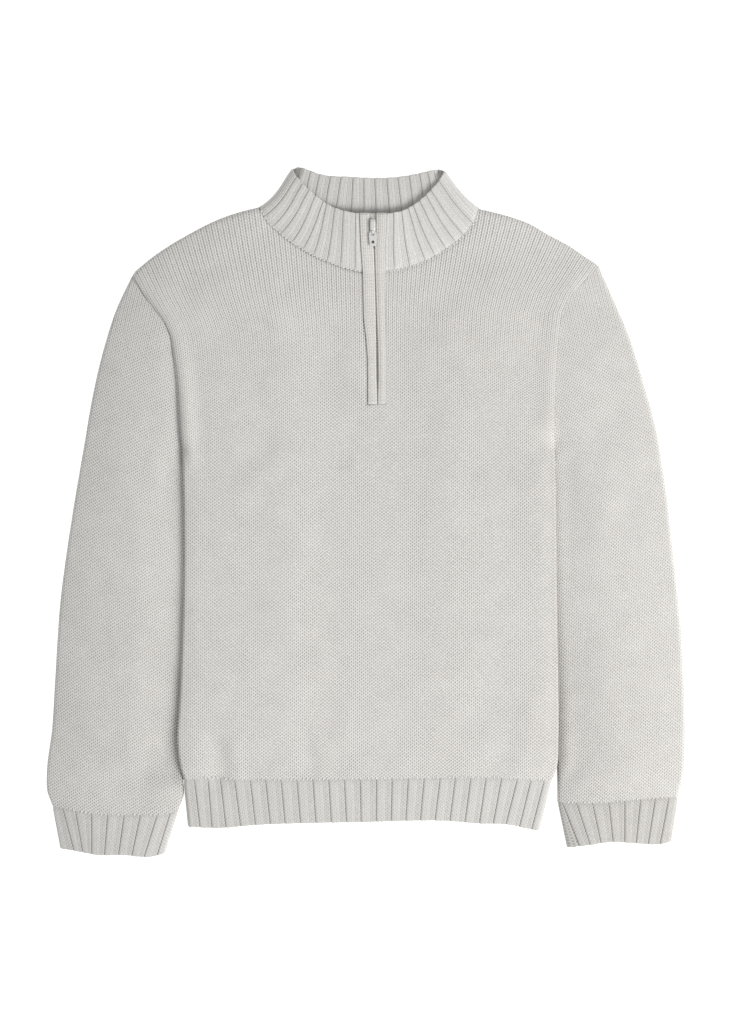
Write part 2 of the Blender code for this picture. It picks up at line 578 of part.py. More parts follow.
def plate(name, outlines, depth, surface, collection):
    """A flat plate from closed outlines, the first its edge and the others its holes."""
    shape = bpy.data.curves.new(name, "CURVE")
    shape.dimensions = "2D"
    shape.fill_mode = "BOTH"
    shape.extrude = depth / 2 * MM
    for outline in outlines:
        spline = shape.splines.new("POLY")
        spline.points.add(len(outline) - 1)
        for point, (x, y) in zip(spline.points, outline):
            point.co = (x * MM, y * MM, 0, 1)
        spline.use_cyclic_u = True
    flat = bpy.data.objects.new(name, shape)
    collection.objects.link(flat)
    graph = bpy.context.evaluated_depsgraph_get()
    mesh = bpy.data.meshes.new_from_object(flat.evaluated_get(graph))
    bpy.data.objects.remove(flat)
    bpy.data.curves.remove(shape)
    welded = bmesh.new()
    welded.from_mesh(mesh)
    bmesh.ops.remove_doubles(welded, verts=welded.verts, dist=1e-6)
    bmesh.ops.recalc_face_normals(welded, faces=welded.faces)
    welded.to_mesh(mesh)
    welded.free()
    mesh.materials.clear()
    return new_object(name, mesh, surface, collection)


def arc(centre, radius, start, end, steps):
    """Points along part of a circle, angles in degrees."""
    return [(centre[0] + radius * math.cos(math.radians(angle)),
             centre[1] + radius * math.sin(math.radians(angle)))
            for angle in np.linspace(start, end, steps)]


def pull_tab(place, surface, collection):
    """The tab: an eye round the slider's hook, shoulders, a taper and a square hole."""
    top, bar, shoulder, foot = 2.4, TAB_THICKNESS / 2, 3.0, 2.4
    edge = [(-top + 0.5, bar), (-top, bar - 0.5), (-shoulder, -2.4), (-foot, 0.7 - TAB_LENGTH),
            (0.7 - foot, -TAB_LENGTH)]
    edge += [(-x, y) for x, y in reversed(edge)]
    eye = [(-1.25, -bar), (-1.25, -2.6), (-0.85, -3.0), (0.85, -3.0), (1.25, -2.6), (1.25, -bar)]
    hole = [(-1.1, -6.9), (-1.1, -9.1), (1.1, -9.1), (1.1, -6.9)]
    made = plate("zip_pull_tab", [edge, eye, hole], TAB_THICKNESS, surface, collection)
    made.matrix_world = place
    return made


def upright(made, place):
    """A plate drawn in u and w, stood up so that it runs along the zip."""
    turn = Matrix(((0, 0, 1, 0), (1, 0, 0, 0), (0, 1, 0, 0), (0, 0, 0, 1)))
    made.matrix_world = place @ turn


def zip_slider(place, surface, collection, cutters):
    """The slider: a tapered body in the slit, a crown on it, and a hook over the tab's bar."""
    body_edge = [(-2.1, -2.6), (-2.8, 2.5), (-2.8, CROWN_LENGTH - 1), (-1.6, CROWN_LENGTH + 0.6),
                 (1.6, CROWN_LENGTH + 0.6), (2.8, CROWN_LENGTH - 1), (2.8, 2.5), (2.1, -2.6)]
    made = plate("zip_slider", [body_edge], SLIDER_DEPTH, surface, collection)
    made.matrix_world = place @ Matrix.Translation((0, 0, (SLIDER_TOP - SLIDER_DEPTH / 2) * MM))
    foot = SLIDER_TOP - 0.4
    hook_edge = ([(HOOK_OUTER, foot)] + arc((0, 0), HOOK_OUTER, 0, 180, 9) + [(-HOOK_OUTER, foot)]
                 + [(-HOOK_INNER, foot)] + arc((0, 0), HOOK_INNER, 180, 0, 7) + [(HOOK_INNER, foot)])
    crown_end = CROWN_FROM + CROWN_LENGTH
    crown_edge = [(CROWN_FROM, foot), (CROWN_FROM, CROWN_TOP - 0.5), (CROWN_FROM + 0.6, CROWN_TOP),
                  (crown_end - 2.2, CROWN_TOP), (crown_end - 0.4, 0), (crown_end - 0.4, foot)]
    hook = plate("hook", [hook_edge], HOOK_WIDTH, surface, cutters)
    crown = plate("crown", [crown_edge], CROWN_WIDTH, surface, cutters)
    for piece in (hook, crown):
        upright(piece, place)
        piece.hide_render = True
        piece.display_type = "WIRE"
        union = made.modifiers.new(piece.name, "BOOLEAN")
        union.operation = "UNION"
        union.solver = "EXACT"
        union.object = piece
    return made


def collection_for(name):
    """A collection of the scene."""
    made = bpy.data.collections.new(name)
    bpy.context.scene.collection.children.link(made)
    return made


def main():
    """Build the sweater."""
    for old in list(bpy.data.objects):
        bpy.data.objects.remove(old)
    parts, cutters = collection_for("quarter_zip_sweater"), collection_for("cutters")
    knit = material("wool blend knit", (0.66, 0.64, 0.61), 0.9)
    rib = material("wool blend rib", (0.62, 0.60, 0.57), 0.9)
    tape = material("polyester tape", (0.55, 0.54, 0.52), 0.8)
    metal = material("lacquered zinc", (0.80, 0.80, 0.80), 0.3, 0.6)

    front_body(knit, parts)
    back_body(knit, parts)
    left, right = front_plan()
    front_row = np.concatenate([left[0], right[0]])
    hem_rib("hem_rib_front", front_row, 1, rib, parts)
    hem_rib("hem_rib_back", back_plan()[0], -1, rib, parts)
    for side, outer, inner, body_side, cuff_top, cuff_bottom in (
            ("left", SLEEVE_LEFT_OUTER, SLEEVE_LEFT_INNER, BODY_LEFT, CUFF_LEFT_TOP, CUFF_LEFT_BOTTOM),
            ("right", SLEEVE_RIGHT_OUTER, SLEEVE_RIGHT_INNER, BODY_RIGHT, CUFF_RIGHT_TOP,
             CUFF_RIGHT_BOTTOM)):
        inside, mirrored = SLEEVE_INSIDE[side], side == "right"
        plan, closed_rows = sleeve_plan(outer, inner, body_side, cuff_top)
        plan[closed_rows - 1:] = drawn_in(plan[closed_rows - 1:], "top", "right")
        plan = drawn_in(plan, "bottom")
        tube("sleeve_" + side, plan, closed_rows, WALL, inside, knit, parts, mirrored)
        plan = drawn_in(cuff_plan(cuff_top, cuff_bottom), "top")
        tube("cuff_" + side, plan, len(plan), WALL, inside, rib, parts, mirrored)
    collar(rib, parts)
    zip_band("zip_band_left", "left", rib, parts)
    zip_band("zip_band_right", "right", rib, parts)
    zip_tape(tape, parts)
    place = zip_frame()
    zip_slider(place, metal, parts, cutters)
    pull_tab(place, metal, parts)


main()
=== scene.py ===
import math

import bpy
import numpy as np
from mathutils import Matrix, Vector


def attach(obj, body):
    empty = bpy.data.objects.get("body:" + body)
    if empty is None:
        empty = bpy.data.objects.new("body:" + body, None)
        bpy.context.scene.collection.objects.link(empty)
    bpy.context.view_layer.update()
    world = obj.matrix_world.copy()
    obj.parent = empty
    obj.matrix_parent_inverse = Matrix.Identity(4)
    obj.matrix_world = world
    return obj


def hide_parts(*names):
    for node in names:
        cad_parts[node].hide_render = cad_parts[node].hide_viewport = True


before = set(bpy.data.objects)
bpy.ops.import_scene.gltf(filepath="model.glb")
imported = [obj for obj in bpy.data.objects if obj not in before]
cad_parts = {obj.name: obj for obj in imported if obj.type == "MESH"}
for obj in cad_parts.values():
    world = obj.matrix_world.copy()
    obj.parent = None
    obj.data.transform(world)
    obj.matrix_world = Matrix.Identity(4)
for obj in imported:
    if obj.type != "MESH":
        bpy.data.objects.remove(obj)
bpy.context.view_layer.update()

MM = 0.001

# Yarn
WALE, COURSE = 3.17, 2.45           # width of a column of stitches, and height of a row
WALL, RIB_WALL = 1.5, 1.8           # thickness of plain knit and of rib
WALES_A_RIB = 4
RIB_DEPTH, FURROW_DEPTH, FURROW_WIDE = 0.28, 0.42, 0.04
RIB_RISES, RIB_SINKS = (0.0, 0.13), (0.46, 0.62)    # where in a rib its wales stand up or lie back
DRAWN = (85.0, 190.0)               # heights between which the wales come to be drawn out

# How thick the garment lies
MIDDLE_X = 3.0                      # the middle of the body
SEAM, LAID = 0.3, 6.4               # the gap between the layers; thickness by neck and zip
PUFF, NECK_PUFF, PUFF_REACH = 2.2, 1.6, 45.0        # how much fuller it is at outer edges and neck
PUFF_FULL, NECK_PUFF_FULL = 6, 4    # how near to them it is fullest
SIDES_X = (-150, 150)               # where the pairs for the left and right are read
CROWN, CUFF_CROWN = (9.6, 8.0), 7.2                 # thickness on the left and right; at cuffs
CROWN_FROM_NECK, CROWN_FROM_ZIP, CROWN_FROM_HEM = (8, 50), (22, 75), (-222, -150)
CUFF_SINKS = (-170, -235)
EDGE_DROP, EDGE_REACH, EDGE_CURVE = (4.9, 1.5), 46.0, 2.2    # how far it sinks to its outer edges
SIDE_DROP, SIDE_REACH = 3.2, 22.0                   # and to the sides between body and sleeves
ROLL_RATIO = 1.15                   # how wide an edge rolls, for its height
ROLL_START = 16.0                   # how far below the armhole's foot the sides are fully rolled

# Where the body's margin lies over the sleeve's
MARGIN, MARGIN_LIFT, MARGIN_REACH, MARGIN_PRESS = 9.0, 4.9, 48.0, 4.7
MARGIN_TOP, MARGIN_BOTTOM = (48.0, 28.0), (-216.0, -197.0)
BODY_MARGIN, SLEEVE_MARGIN = 4, 24
MARGIN_THINS, THIN_REACH = 1.3, 14
SLOPE_HEIGHTS = (90, -10)
RIGHT_HIGHER = 5.6                  # how much higher the right armhole's foot lies

# How the seams pull, on the left and right: the body beside the armhole, the sleeve beside it, and
# the dip of the neck seam
BODY_EASE, SLEEVE_EASE, NECK_DIP = (1.0, 0.35), (1.0, 0.3), (-0.8, -0.35)
EASE_HEIGHTS = (175, 60)            # between which the ease grows downwards
RIDGE, RIDGE_GROWS, RIDGE_OUT = 0.8, 1.7, 6         # the ridge on the body, and how far out it is
DIP, DIP_WIDE, NECK_DIP_WIDE = 0.9, 1.6, 1.8        # the dips at the seams themselves
SINK, SINK_GROWS, SINK_WIDE = 0.4, 1.6, 9           # how the sleeve sinks
BAND_DIP = 0.6                      # how the cloth dips by the left zip band, and the shade painted there

# The collar and the zip
COLLAR_RISE, BACK_RISE, NECK_Y, RIM_Y, ZIP_FOOT_Y = 7.5, 7.2, 186.5, 231.5, 83.6
RISE_DROP, RISE_DROP_FROM, FOLD_DROP, FOLD_DROP_REACH = 0.35, (12, 40), 0.25, 16
BACK_RISE_FROM = (1, 11)            # how far from the folds the collar's back rises
BAND_PROUD, BAND_WALL, BAND_ROW, BAND_RIDGE, BAND_ROUND = 0.7, 1.6, 0.6, 0.14, 0.45
BAND_FURROW, BAND_FURROW_WIDE, BAND_END, BAND_END_DROP = 0.12, 0.07, 1.5, 0.9
BAND_FOLD = {"left": 0.72, "right": 0.3}    # where across the band its furrow lies
TAPE_HALF, TAPE_WALL, TAPE_SUNK, TAPE_RISES = 4.5, 0.6, 2.3, 1.1
COIL_PITCH, COIL_OUT, COIL_WIDE, COIL_HIGH, COIL_WIRE = 1.3, 0.75, 0.75, 0.5, 0.26
PIVOT_X, PIVOT_Y, PIVOT_HEIGHT = 5.5, 217.0, 1.1
TAB_THICKNESS, TAB_LENGTH = 0.8, 11.1

# Painted shade, from 0 to 1: how much darker the cloth is painted in folds, seams, ribs and whole
# pieces
SLEEVE_SHADE = {"left": 0.05, "right": 0.0}
CUFF_SHADE = {"left": 0.22, "right": 0.4}
HEM_SHADE, COLLAR_BACK_SHADE, RIGHT_BAND_SHADE = 0.2, 0.15, 0.1
BAND_FURROW_SHADE, BAND_ROW_SHADE = 0.15, 0.1
FURROW_SHADE, FURROW_SHADE_WIDE, LAID_BACK_SHADE = 0.6, 0.028, 0.13     # in the ribs
SEAM_PAINTED_SHADE = (0.6, 0.12)             # on the left, where the linking is tighter, and right
SIDE_PAINTED_SHADE, SIDE_WIDE = (0.45, 0.25), (1.5, 4.0)
# Painted shadow where a sleeve goes under the body, by height: how dark, and how wide. Then how
# much painted shade darkens the lower sleeve towards it, and over what width and between what
# heights.
FOLD_AT = (-150.0, -100.0, -50.0, 0.0, 25.0)
FOLD_PAINTED_SHADE = {"left": (0.4, 0.1, 0.0, 0.1, 0.25), "right": (0.9, 0.65, 0.42, 0.33, 0.25)}
FOLD_WIDE = (5.9, 5.0, 4.6, 3.9, 3.5)
LOWER_SHADE = {"left": (0.08, 32.0), "right": (0.14, 75.0)}
FOLD_STARTS, LOWER_STARTS = (60, 20), (-40, -170)

# Light, camera, and the floor, which lies just clear of the cloth
FLOOR_GAP = -0.05
CAMERA_AT, LENS = (-0.00016, -0.00039, 1.890), 85
SKY, KEY, KEY_SIZE, KEY_AWAY = 0.685, 48.5, 1.03, 2.2
KEY_BEARING, KEY_HEIGHT = -28.0, 36.0

# Outlines, rows of (x, y). Sides run from the hem up, sleeves from the shoulder down.
BODY_LEFT = [
    (-142, -209.5), (-145.5, -194), (-147, -176), (-145.5, -153), (-142.5, -86), (-141.7, -19),
    (-143.3, 48), (-145.6, 79), (-147.2, 102), (-150.3, 124), (-152.6, 137), (-158, 148),
    (-166, 158.7), (-174.5, 170), (-183, 183)]
BODY_RIGHT = [
    (145.3, -209.5), (148.4, -201), (150, -176), (150, -131), (149.2, -86), (148.4, -19),
    (147.7, 53.6), (147.7, 79), (148.4, 101), (150, 125), (151.6, 140), (154, 155), (162, 170),
    (172, 180.5), (182, 191.5)]
SHOULDER_LEFT = [
    (-183, 183), (-171.4, 194.6), (-156.5, 205.5), (-138, 216.5), (-120, 225.8), (-101, 232.8),
    (-82.4, 237.5)]
SHOULDER_RIGHT = [
    (88.4, 236), (98.5, 233.6), (113.3, 229.7), (128.2, 224.3), (143, 215.7), (161.7, 205.5),
    (172.6, 197.7), (182, 191.5)]
NECK_LEFT = [
    (-82.4, 237.5), (-77.8, 227.4), (-69.2, 218.8), (-59, 210.2), (-50.5, 205), (-40.3, 199),
    (-27.8, 193.8), (-15.4, 189.3), (-2.7, NECK_Y)]
NECK_RIGHT = [
    (15.6, NECK_Y), (27.5, 188.7), (40, 192.3), (52.5, 197.7), (62.6, 204), (71.2, 210.2),
    (79.8, 218.8), (86, 228.2), (88.4, 236)]
NECK_BACK = [
    (-82.4, 237.5), (-78, 230.5), (-68, 224.5), (-45, 219.5), (3, 217), (50, 219.5), (74, 224.5),
    (84, 230.5), (88.4, 236)]
FOLD_LEFT = [(-82.4, 237.5), (-73.9, 244.5), (-67.4, 252.3), (-62, 261), (-58, 267)]
FOLD_RIGHT = [(88.4, 236), (79, 244.5), (71.5, 252.7), (66.5, 259.5), (62, 265.5)]
RIM_LEFT = [
    (-58, 267), (-50, 256), (-42.7, 248.8), (-35, 242.6), (-25.5, 236.7), (-13.8, 233),
    (-5.1, RIM_Y)]
RIM_RIGHT = [(17.3, RIM_Y), (29, 234), (39.2, 239.9), (49, 248.4), (56.4, 257), (62, 265.5)]
RIM_BACK = [
    (-58, 267), (-53, 268.6), (-47, 266.9), (-35.6, 262.7), (-10.7, 260.5), (6.5, 259.7),
    (25.2, 260.5), (41.6, 263.3), (53, 266), (58.5, 266.8), (62, 265.5)]
HEM_TOP = [
    (-142, -209.5), (-128, -207), (-95, -209), (3, -208), (63, -207), (107, -207), (145.3, -209.5)]
HEM_BOTTOM = [
    (-138.6, -246), (-115, -246.9), (-84, -244.5), (-39, -243), (3, -242.2), (29, -241.4),
    (62.6, -241.4), (89, -243.5), (114, -244.7), (123.5, -246.9), (136, -249.2)]
SLEEVE_LEFT_OUTER = [
    (-183, 183), (-195, 157), (-204, 129), (-212, 96), (-220.5, 48), (-230.5, -12), (-238.5, -71),
    (-242.5, -131), (-245, -170), (-249, -203), (-248.7, -219), (-244.7, -229.7)]
SLEEVE_LEFT_INNER = [
    (-143.3, 48), (-142.0, 42), (-140.6, 33), (-138.9, 22), (-137.2, 8), (-134.5, -20), (-134, -86),
    (-136.5, -153), (-140, -190), (-142.4, -209), (-142, -219.6), (-145.6, -232)]
SLEEVE_RIGHT_OUTER = [
    (182, 191.5), (191, 171), (206, 136), (216.5, 102.5), (226, 68), (234, 21.5), (240.5, -35),
    (246.3, -91), (249, -142), (249.5, -180), (247.5, -209), (244.4, -222.3)]
SLEEVE_RIGHT_INNER = [
    (147.7, 53.6), (146.9, 48), (145.8, 41), (144.4, 30), (142.2, 10), (140.5, -20), (141, -86),
    (142, -131), (145, -168), (149, -195), (149.4, -210), (149.6, -226.6)]
CUFF_LEFT_TOP = [
    (-244.7, -229.7), (-236, -231.3), (-218, -234.4), (-195.5, -236), (-177.6, -236),
    (-151, -234.4), (-145.6, -232)]
CUFF_LEFT_BOTTOM = [
    (-238.4, -263.3), (-223, -265.6), (-209, -267.9), (-191, -267.9), (-163.6, -268.7),
    (-156.2, -266.4)]
CUFF_RIGHT_TOP = [
    (244.4, -222.3), (230.3, -222.7), (208.5, -224.3), (186, -226.6), (163.3, -226.6),
    (149.6, -226.6)]
CUFF_RIGHT_BOTTOM = [
    (238.9, -257.4), (230.3, -259.4), (208.5, -258.6), (190.6, -257.8), (175, -260.1),
    (157, -262.5)]

# The zip from its foot to the collar's rim: y, left edge of the left band, middle of the slit,
# half the slit's width, right edge of the right band
ZIP_ROWS = [
    (83.6, 1.6, 9.1, 0.2, 16.0), (92, 1.6, 9.1, 0.3, 16.0), (105, 1.6, 9.1, 0.8, 16.0),
    (120, 1.4, 8.9, 0.8, 16.0), (136, 0.1, 8.6, 0.6, 15.8), (150, -1.6, 8.2, 0.4, 15.6),
    (165, -2.0, 7.8, 0.3, 15.4), (186.5, -2.4, 7.2, 0.3, 15.3), (203, -3.6, 6.6, 0.3, 15.3),
    (208, -3.9, 6.2, 0.9, 15.5), (213, -4.1, 5.7, 2.0, 15.8), (217, -4.3, 5.5, 2.5, 16.2),
    (231.5, -4.8, 5.5, 2.7, 17.0)]

# How the grids are spaced, in shares from 0 to 1, and the rows that a rounded edge adds
EDGE_ROWS = 4
UNDERARM, ARM_TURN, SLOT_SHARE, NECK_SHARE = 0.6561, 0.34, 0.7593, 0.5
OUTER_AT_UNDERARM = 0.29


def spaced(start, end, count, fine_start=0.0, fine_end=0.0):
    """Even shares between two ends, with closer ones beside an end that rolls or meets a seam."""
    near = np.array([0.02, 0.06, 0.12, 0.2, 0.32, 0.46, 0.62, 0.8])
    shares = [np.linspace(start, end, count)]
    if fine_start:
        shares.append(start + near * fine_start)
    if fine_end:
        shares.append(end - near * fine_end)
    return np.unique(np.round(np.concatenate(shares), 6))


ARM = np.unique(np.concatenate([
    spaced(0, ARM_TURN, 26, fine_start=0.05), spaced(ARM_TURN, SLOT_SHARE, 32),
    spaced(SLOT_SHARE, 1, 20, fine_end=0.05)]))
BODY_UP = np.concatenate([spaced(0, UNDERARM, 108, fine_start=0.01)[:-1],
                          1 - ARM[::-1] * (1 - UNDERARM)])
NECK_ACROSS = spaced(0, 1, 34, fine_start=0.06)
HALF_ACROSS = np.concatenate([spaced(0, NECK_SHARE, 32, fine_start=0.06)[:-1],
                              NECK_SHARE + NECK_ACROSS * (1 - NECK_SHARE)])
SLEEVE_ACROSS = spaced(0, 1, 42, fine_start=0.09, fine_end=0.09)
SLEEVE_BELOW = spaced(0, 1, 110)[1:]
COLLAR_UP = spaced(0, 1, 26, fine_start=0.06)
BODY_INSIDE, COLLAR_INSIDE = (3.0, 0.0), (3.0, 245.0)
SLEEVE_INSIDE = {"left": (-192.0, 20.0), "right": (195.0, 20.0)}
SLEEVE_LEFT_AXIS = [(-195, -232), (-190, -131), (-183, -19), (-178, 48), (-168, 110), (-156, 170)]
SLEEVE_RIGHT_AXIS = [(197, -226), (195, -131), (190, -19), (186, 48), (177, 110), (164, 175)]
# How close a sleeve's wales lie, and their skew. How late the body's wales turn out to the
# armholes, how far, and above what height. How the courses sink to the shoulders.
SLEEVE_GRAIN = {"left": (1.04, 0.14), "right": (1.14, -0.09)}
FAN, FAN_SHARE, FAN_FOOT = 1.35, 0.85, 44
SAG, SAG_HEIGHTS, COURSES_FROM = 0.0011, (40, 180), 210
SLOT_TUCK = -0.1                    # the front ends just short of the zip bands


def curve(rows, by="length"):
    """A smooth curve through rows of numbers, as a function of 0 to 1 along it."""
    points = np.array(rows, float)
    if by == "length":
        steps = np.linalg.norm(np.diff(points, axis=0), axis=1)
    else:
        steps = np.abs(np.diff(points[:, "xy".index(by)]))
    knots = np.concatenate([[0], np.cumsum(steps)]) / steps.sum()
    slopes = np.gradient(points, knots, axis=0)

    def at(share):
        share = np.clip(np.asarray(share, float), 0, 1)
        i = np.clip(np.searchsorted(knots, share, side="right") - 1, 0, len(knots) - 2)
        span = (knots[i + 1] - knots[i])[..., None]
        f = (share - knots[i])[..., None] / span
        return ((1 + 2 * f) * (1 - f) ** 2 * points[i] + f * (1 - f) ** 2 * span * slopes[i]
                + f * f * (3 - 2 * f) * points[i + 1] + f * f * (f - 1) * span * slopes[i + 1])
    return at


def line(rows, by="length", count=160):
    """Points close together along a curve."""
    return curve(rows, by)(np.linspace(0, 1, count))


def run_along(path):
    """The distance along a path of each of its points."""
    return np.concatenate([[0], np.cumsum(np.linalg.norm(np.diff(path, axis=0), axis=1))])


def at_run(path, run, at):
    """The points of a path at some distances along it."""
    return np.stack([np.interp(at, run, path[:, axis]) for axis in (0, 1)], axis=-1)


def join(first, second, share):
    """Two curves end to end, the second from a share of the whole."""
    def at(t):
        t = np.asarray(t, float)
        return np.where((t < share)[..., None], first(t / share), second((t - share) / (1 - share)))
    return at


def step(value, low, high):
    """0 at low, 1 at high, and smooth between them."""
    f = np.clip((value - low) / (high - low), 0, 1)
    return f * f * (3 - 2 * f)


def bell(value, width):
    """1 at nothing, falling off to both sides."""
    return np.exp(-(value / width) ** 2)


def by_side(plan, pair):
    """The first of two values on the garment's left, and the second on its right."""
    return np.where(plan[..., 0] < 0, *pair)


def nearest(points, paths, inside):
    """How far each point lies from the nearest of some paths, and the way from it inwards."""
    best = np.full(points.shape[:-1], np.inf)
    away = np.zeros(points.shape)
    for path in paths:
        for start, end in zip(path[:-1], path[1:]):
            along = end - start
            across = np.array([-along[1], along[0]]) / np.linalg.norm(along)
            across *= np.sign(across @ (np.array(inside) - start))
            f = np.clip(((points - start) @ along) / (along @ along), 0, 1)
            offset = points - start - f[..., None] * along
            far = np.linalg.norm(offset, axis=-1)
            way = np.where((far > 0.3)[..., None], offset / np.maximum(far, 0.3)[..., None], across)
            closer = far < best
            best = np.where(closer, far, best)
            away = np.where(closer[..., None], way, away)
    return best, away


# Furrows of the ribs: where each starts at the seam and where it ends at the open edge, in x
HEM_FURROWS = [
    (-133.8, -129.2), (-123.1, -120.0), (-113.6, -109.0), (-102.5, -97.6), (-90.2, -86.1),
    (-78.3, -74.5), (-66.2, -63.0), (-53.9, -51.0), (-41.5, -39.0), (-29.0, -27.0), (-16.9, -15.2),
    (-4.5, -3.8), (8.2, 8.0), (20.4, 19.6), (33.0, 31.0), (45.4, 42.3), (57.9, 53.7), (69.7, 65.3),
    (81.8, 77.0), (93.6, 88.3), (105.8, 99.0), (118.2, 109.0), (128.8, 119.5), (139.0, 129.0)]
CUFF_LEFT_FURROWS = [
    (-236.6, -227.5), (-226.6, -220.6), (-213.9, -213.7), (-201.2, -203.8), (-188.3, -192.8),
    (-175.7, -182.5), (-162.5, -173.0), (-152.5, -163.0)]
CUFF_RIGHT_FURROWS = [
    (153.0, 166.8), (163.9, 174.8), (176.4, 183.2), (189.2, 192.6), (201.6, 201.6), (214.0, 210.4),
    (225.6, 219.8), (236.2, 229.0)]
COLLAR_LEFT_FURROWS = [
    (-79.0, -53.5), (-72.9, -49.2), (-66.6, -44.2), (-57.9, -39.2), (-49.2, -33.0), (-41.1, -30.5),
    (-30.5, -24.3), (-20.1, -17.7), (-8.7, -8.1)]
COLLAR_RIGHT_FURROWS = [
    (22.3, 21.7), (34.2, 27.9), (46.6, 33.0), (54.1, 36.7), (62.8, 41.6), (70.2, 46.6),
    (76.4, 50.3), (83.9, 56.5)]
COLLAR_BACK_FURROWS = [
    (-66.0, -50.5), (-56.0, -43.0), (-48.0, -36.1), (-38.0, -27.5), (-28.6, -19.3), (-13.6, -10.0),
    (-2.2, -1.6), (8.4, 6.8), (20.0, 16.1), (30.6, 24.8), (41.2, 33.5), (51.0, 41.6), (60.2, 47.8),
    (68.0, 52.8)]
RIB_STEPS = np.array([0, 0.03, 0.06, 0.09, 0.13, 0.2, 0.3, 0.4, 0.45, 0.49, 0.53, 0.57, 0.62, 0.72,
                      0.84, 0.92, 0.97])

# Soft troughs (depth below 0) and ridges on the front: both ends, sideways bend, half width, height
FRONT_CREASES = [
    (-121, -170, -115, -214, 3, 9, -1.5), (-102, -176, -98, -210, -2, 6, 0.7),
    (-49, -168, -43, -205, 2, 6, -0.9), (-120, -70, -60, -118, 8, 14, -0.5),
    (-38, -186, -10, -150, -5, 12, 0.5), (60, -196, 96, -150, 6, 13, -0.6),
    (118, -200, 128, -140, -4, 9, 0.7), (-132, 30, -70, 62, -9, 13, -0.7),
    (-128, 12, -84, 22, -5, 10, 0.5), (136, 36, 82, 70, 9, 13, -0.7), (132, 14, 92, 30, 6, 10, 0.5),
    (-150, 168, -96, 196, 8, 12, -0.8), (-138, 150, -74, 168, 9, 14, 0.6),
    (150, 172, 104, 200, -7, 12, -0.6), (130, 148, 66, 160, -8, 15, 0.5),
    (-60, 150, -24, 110, 6, 13, -0.5), (66, 128, 34, 96, -6, 13, 0.4),
    (-30, 40, 44, 26, 5, 16, -0.4), (-90, -10, -40, -34, 7, 15, 0.4),
    (30, -60, 96, -84, -8, 16, -0.45), (-70, -120, -20, -96, 5, 14, -0.4),
    (20, -140, 60, -120, -4, 12, 0.4)]
BACK_CREASES = [
    (-120, -196, -96, -140, 5, 11, 0.5), (108, -200, 84, -150, -6, 11, -0.5),
    (-134, 30, -72, 66, -8, 14, -0.6), (138, 34, 80, 62, 8, 14, -0.6),
    (-60, 196, 48, 198, 7, 12, -0.5), (-20, 60, 60, 40, 6, 18, 0.4),
    (-80, -60, -10, -86, 7, 16, -0.4)]
SLEEVE_CREASES = [
    (-236, -168, -206, -204, 5, 8, -1.2), (-232, -196, -204, -222, 4, 6, 1.0),
    (-150, -176, -176, -214, -5, 8, -0.9), (-238, -90, -196, -122, 8, 11, -0.8),
    (-228, -20, -188, -60, 8, 12, 0.6), (-154, -80, -178, -40, 4, 11, -0.5),
    (-216, 60, -170, 30, 9, 12, -0.8), (-204, 112, -170, 84, 6, 10, 0.6),
    (-162, 10, -190, -4, 4, 9, 0.5), (158, -200, 178, -218, -4, 7, -1.3),
    (152, -178, 176, -206, -5, 8, 0.9), (246, -150, 214, -192, -7, 10, -0.7),
    (242, -60, 202, -104, -9, 12, 0.6), (160, -110, 186, -60, -5, 12, -0.6),
    (226, 20, 190, -22, -8, 12, -0.6), (214, 84, 178, 52, -8, 11, -0.8),
    (166, 20, 196, 4, -4, 10, 0.5), (200, 130, 176, 108, -5, 9, 0.5)]


def rib_columns(furrows, start, end):
    """The x of each column of a ribbed piece at its seam, and its place among the ribs."""
    seam = np.array([row[0] for row in furrows])
    count = np.arange(len(seam))
    first, last = seam[1] - seam[0], seam[-1] - seam[-2]
    low, high = (start - seam[0]) / first, count[-1] + (end - seam[-1]) / last
    whole = np.arange(math.floor(low), math.ceil(high) + 1)
    place = (whole[:, None] + RIB_STEPS).reshape(-1)
    place = place[(place > low + 0.03) & (place < high - 0.03)]
    near = np.array([0, 0.3, 0.9, 1.8, 3.0]) / 12
    place = np.unique(np.concatenate([place, low + near, high - near]))
    x = np.interp(place, count, seam)
    x = np.where(place < 0, seam[0] + place * first, x)
    x = np.where(place > count[-1], seam[-1] + (place - count[-1]) * last, x)
    return x, place


def in_rib(place):
    """How far across its rib each place lies, and how far from the nearest furrow."""
    p = np.mod(place, 1)
    return p, np.minimum(p, 1 - p)


def rib_relief(place):
    """Height of a two by two rib across: two columns stand up and two lie back."""
    p, beside = in_rib(place)
    return (RIB_DEPTH * (step(p, *RIB_RISES) - step(p, *RIB_SINKS)) - RIB_DEPTH / 2
            - FURROW_DEPTH * bell(beside, FURROW_WIDE))


def share_at_x(path, x):
    """The share of a curve at which it reaches each x."""
    shares = np.linspace(0, 1, 600)
    xs = path(shares)[:, 0]
    order = np.argsort(xs)
    return np.interp(x, xs[order], shares[order])


def creases(plan, rows):
    """Height of the soft troughs and ridges over points in plan."""
    height = np.zeros(plan.shape[:-1])
    for x0, y0, x1, y1, bend, width, depth in rows:
        start, along = np.array([x0, y0]), np.array([x1 - x0, y1 - y0], float)
        length = np.linalg.norm(along)
        along /= length
        f = ((plan - start) @ along) / length
        side = (plan - start) @ np.array([-along[1], along[0]])
        side = side - bend * 4 * f * (1 - f)
        taper = np.exp(-np.maximum(0, np.abs(f - 0.5) - 0.28) ** 2 / 0.05)
        height += depth * bell(side, width) * taper
    return height


def cut_end(top, bottom, end):
    """The straight end of a rib, from its seam to its open edge."""
    return np.array([top[end], bottom[end]], float)


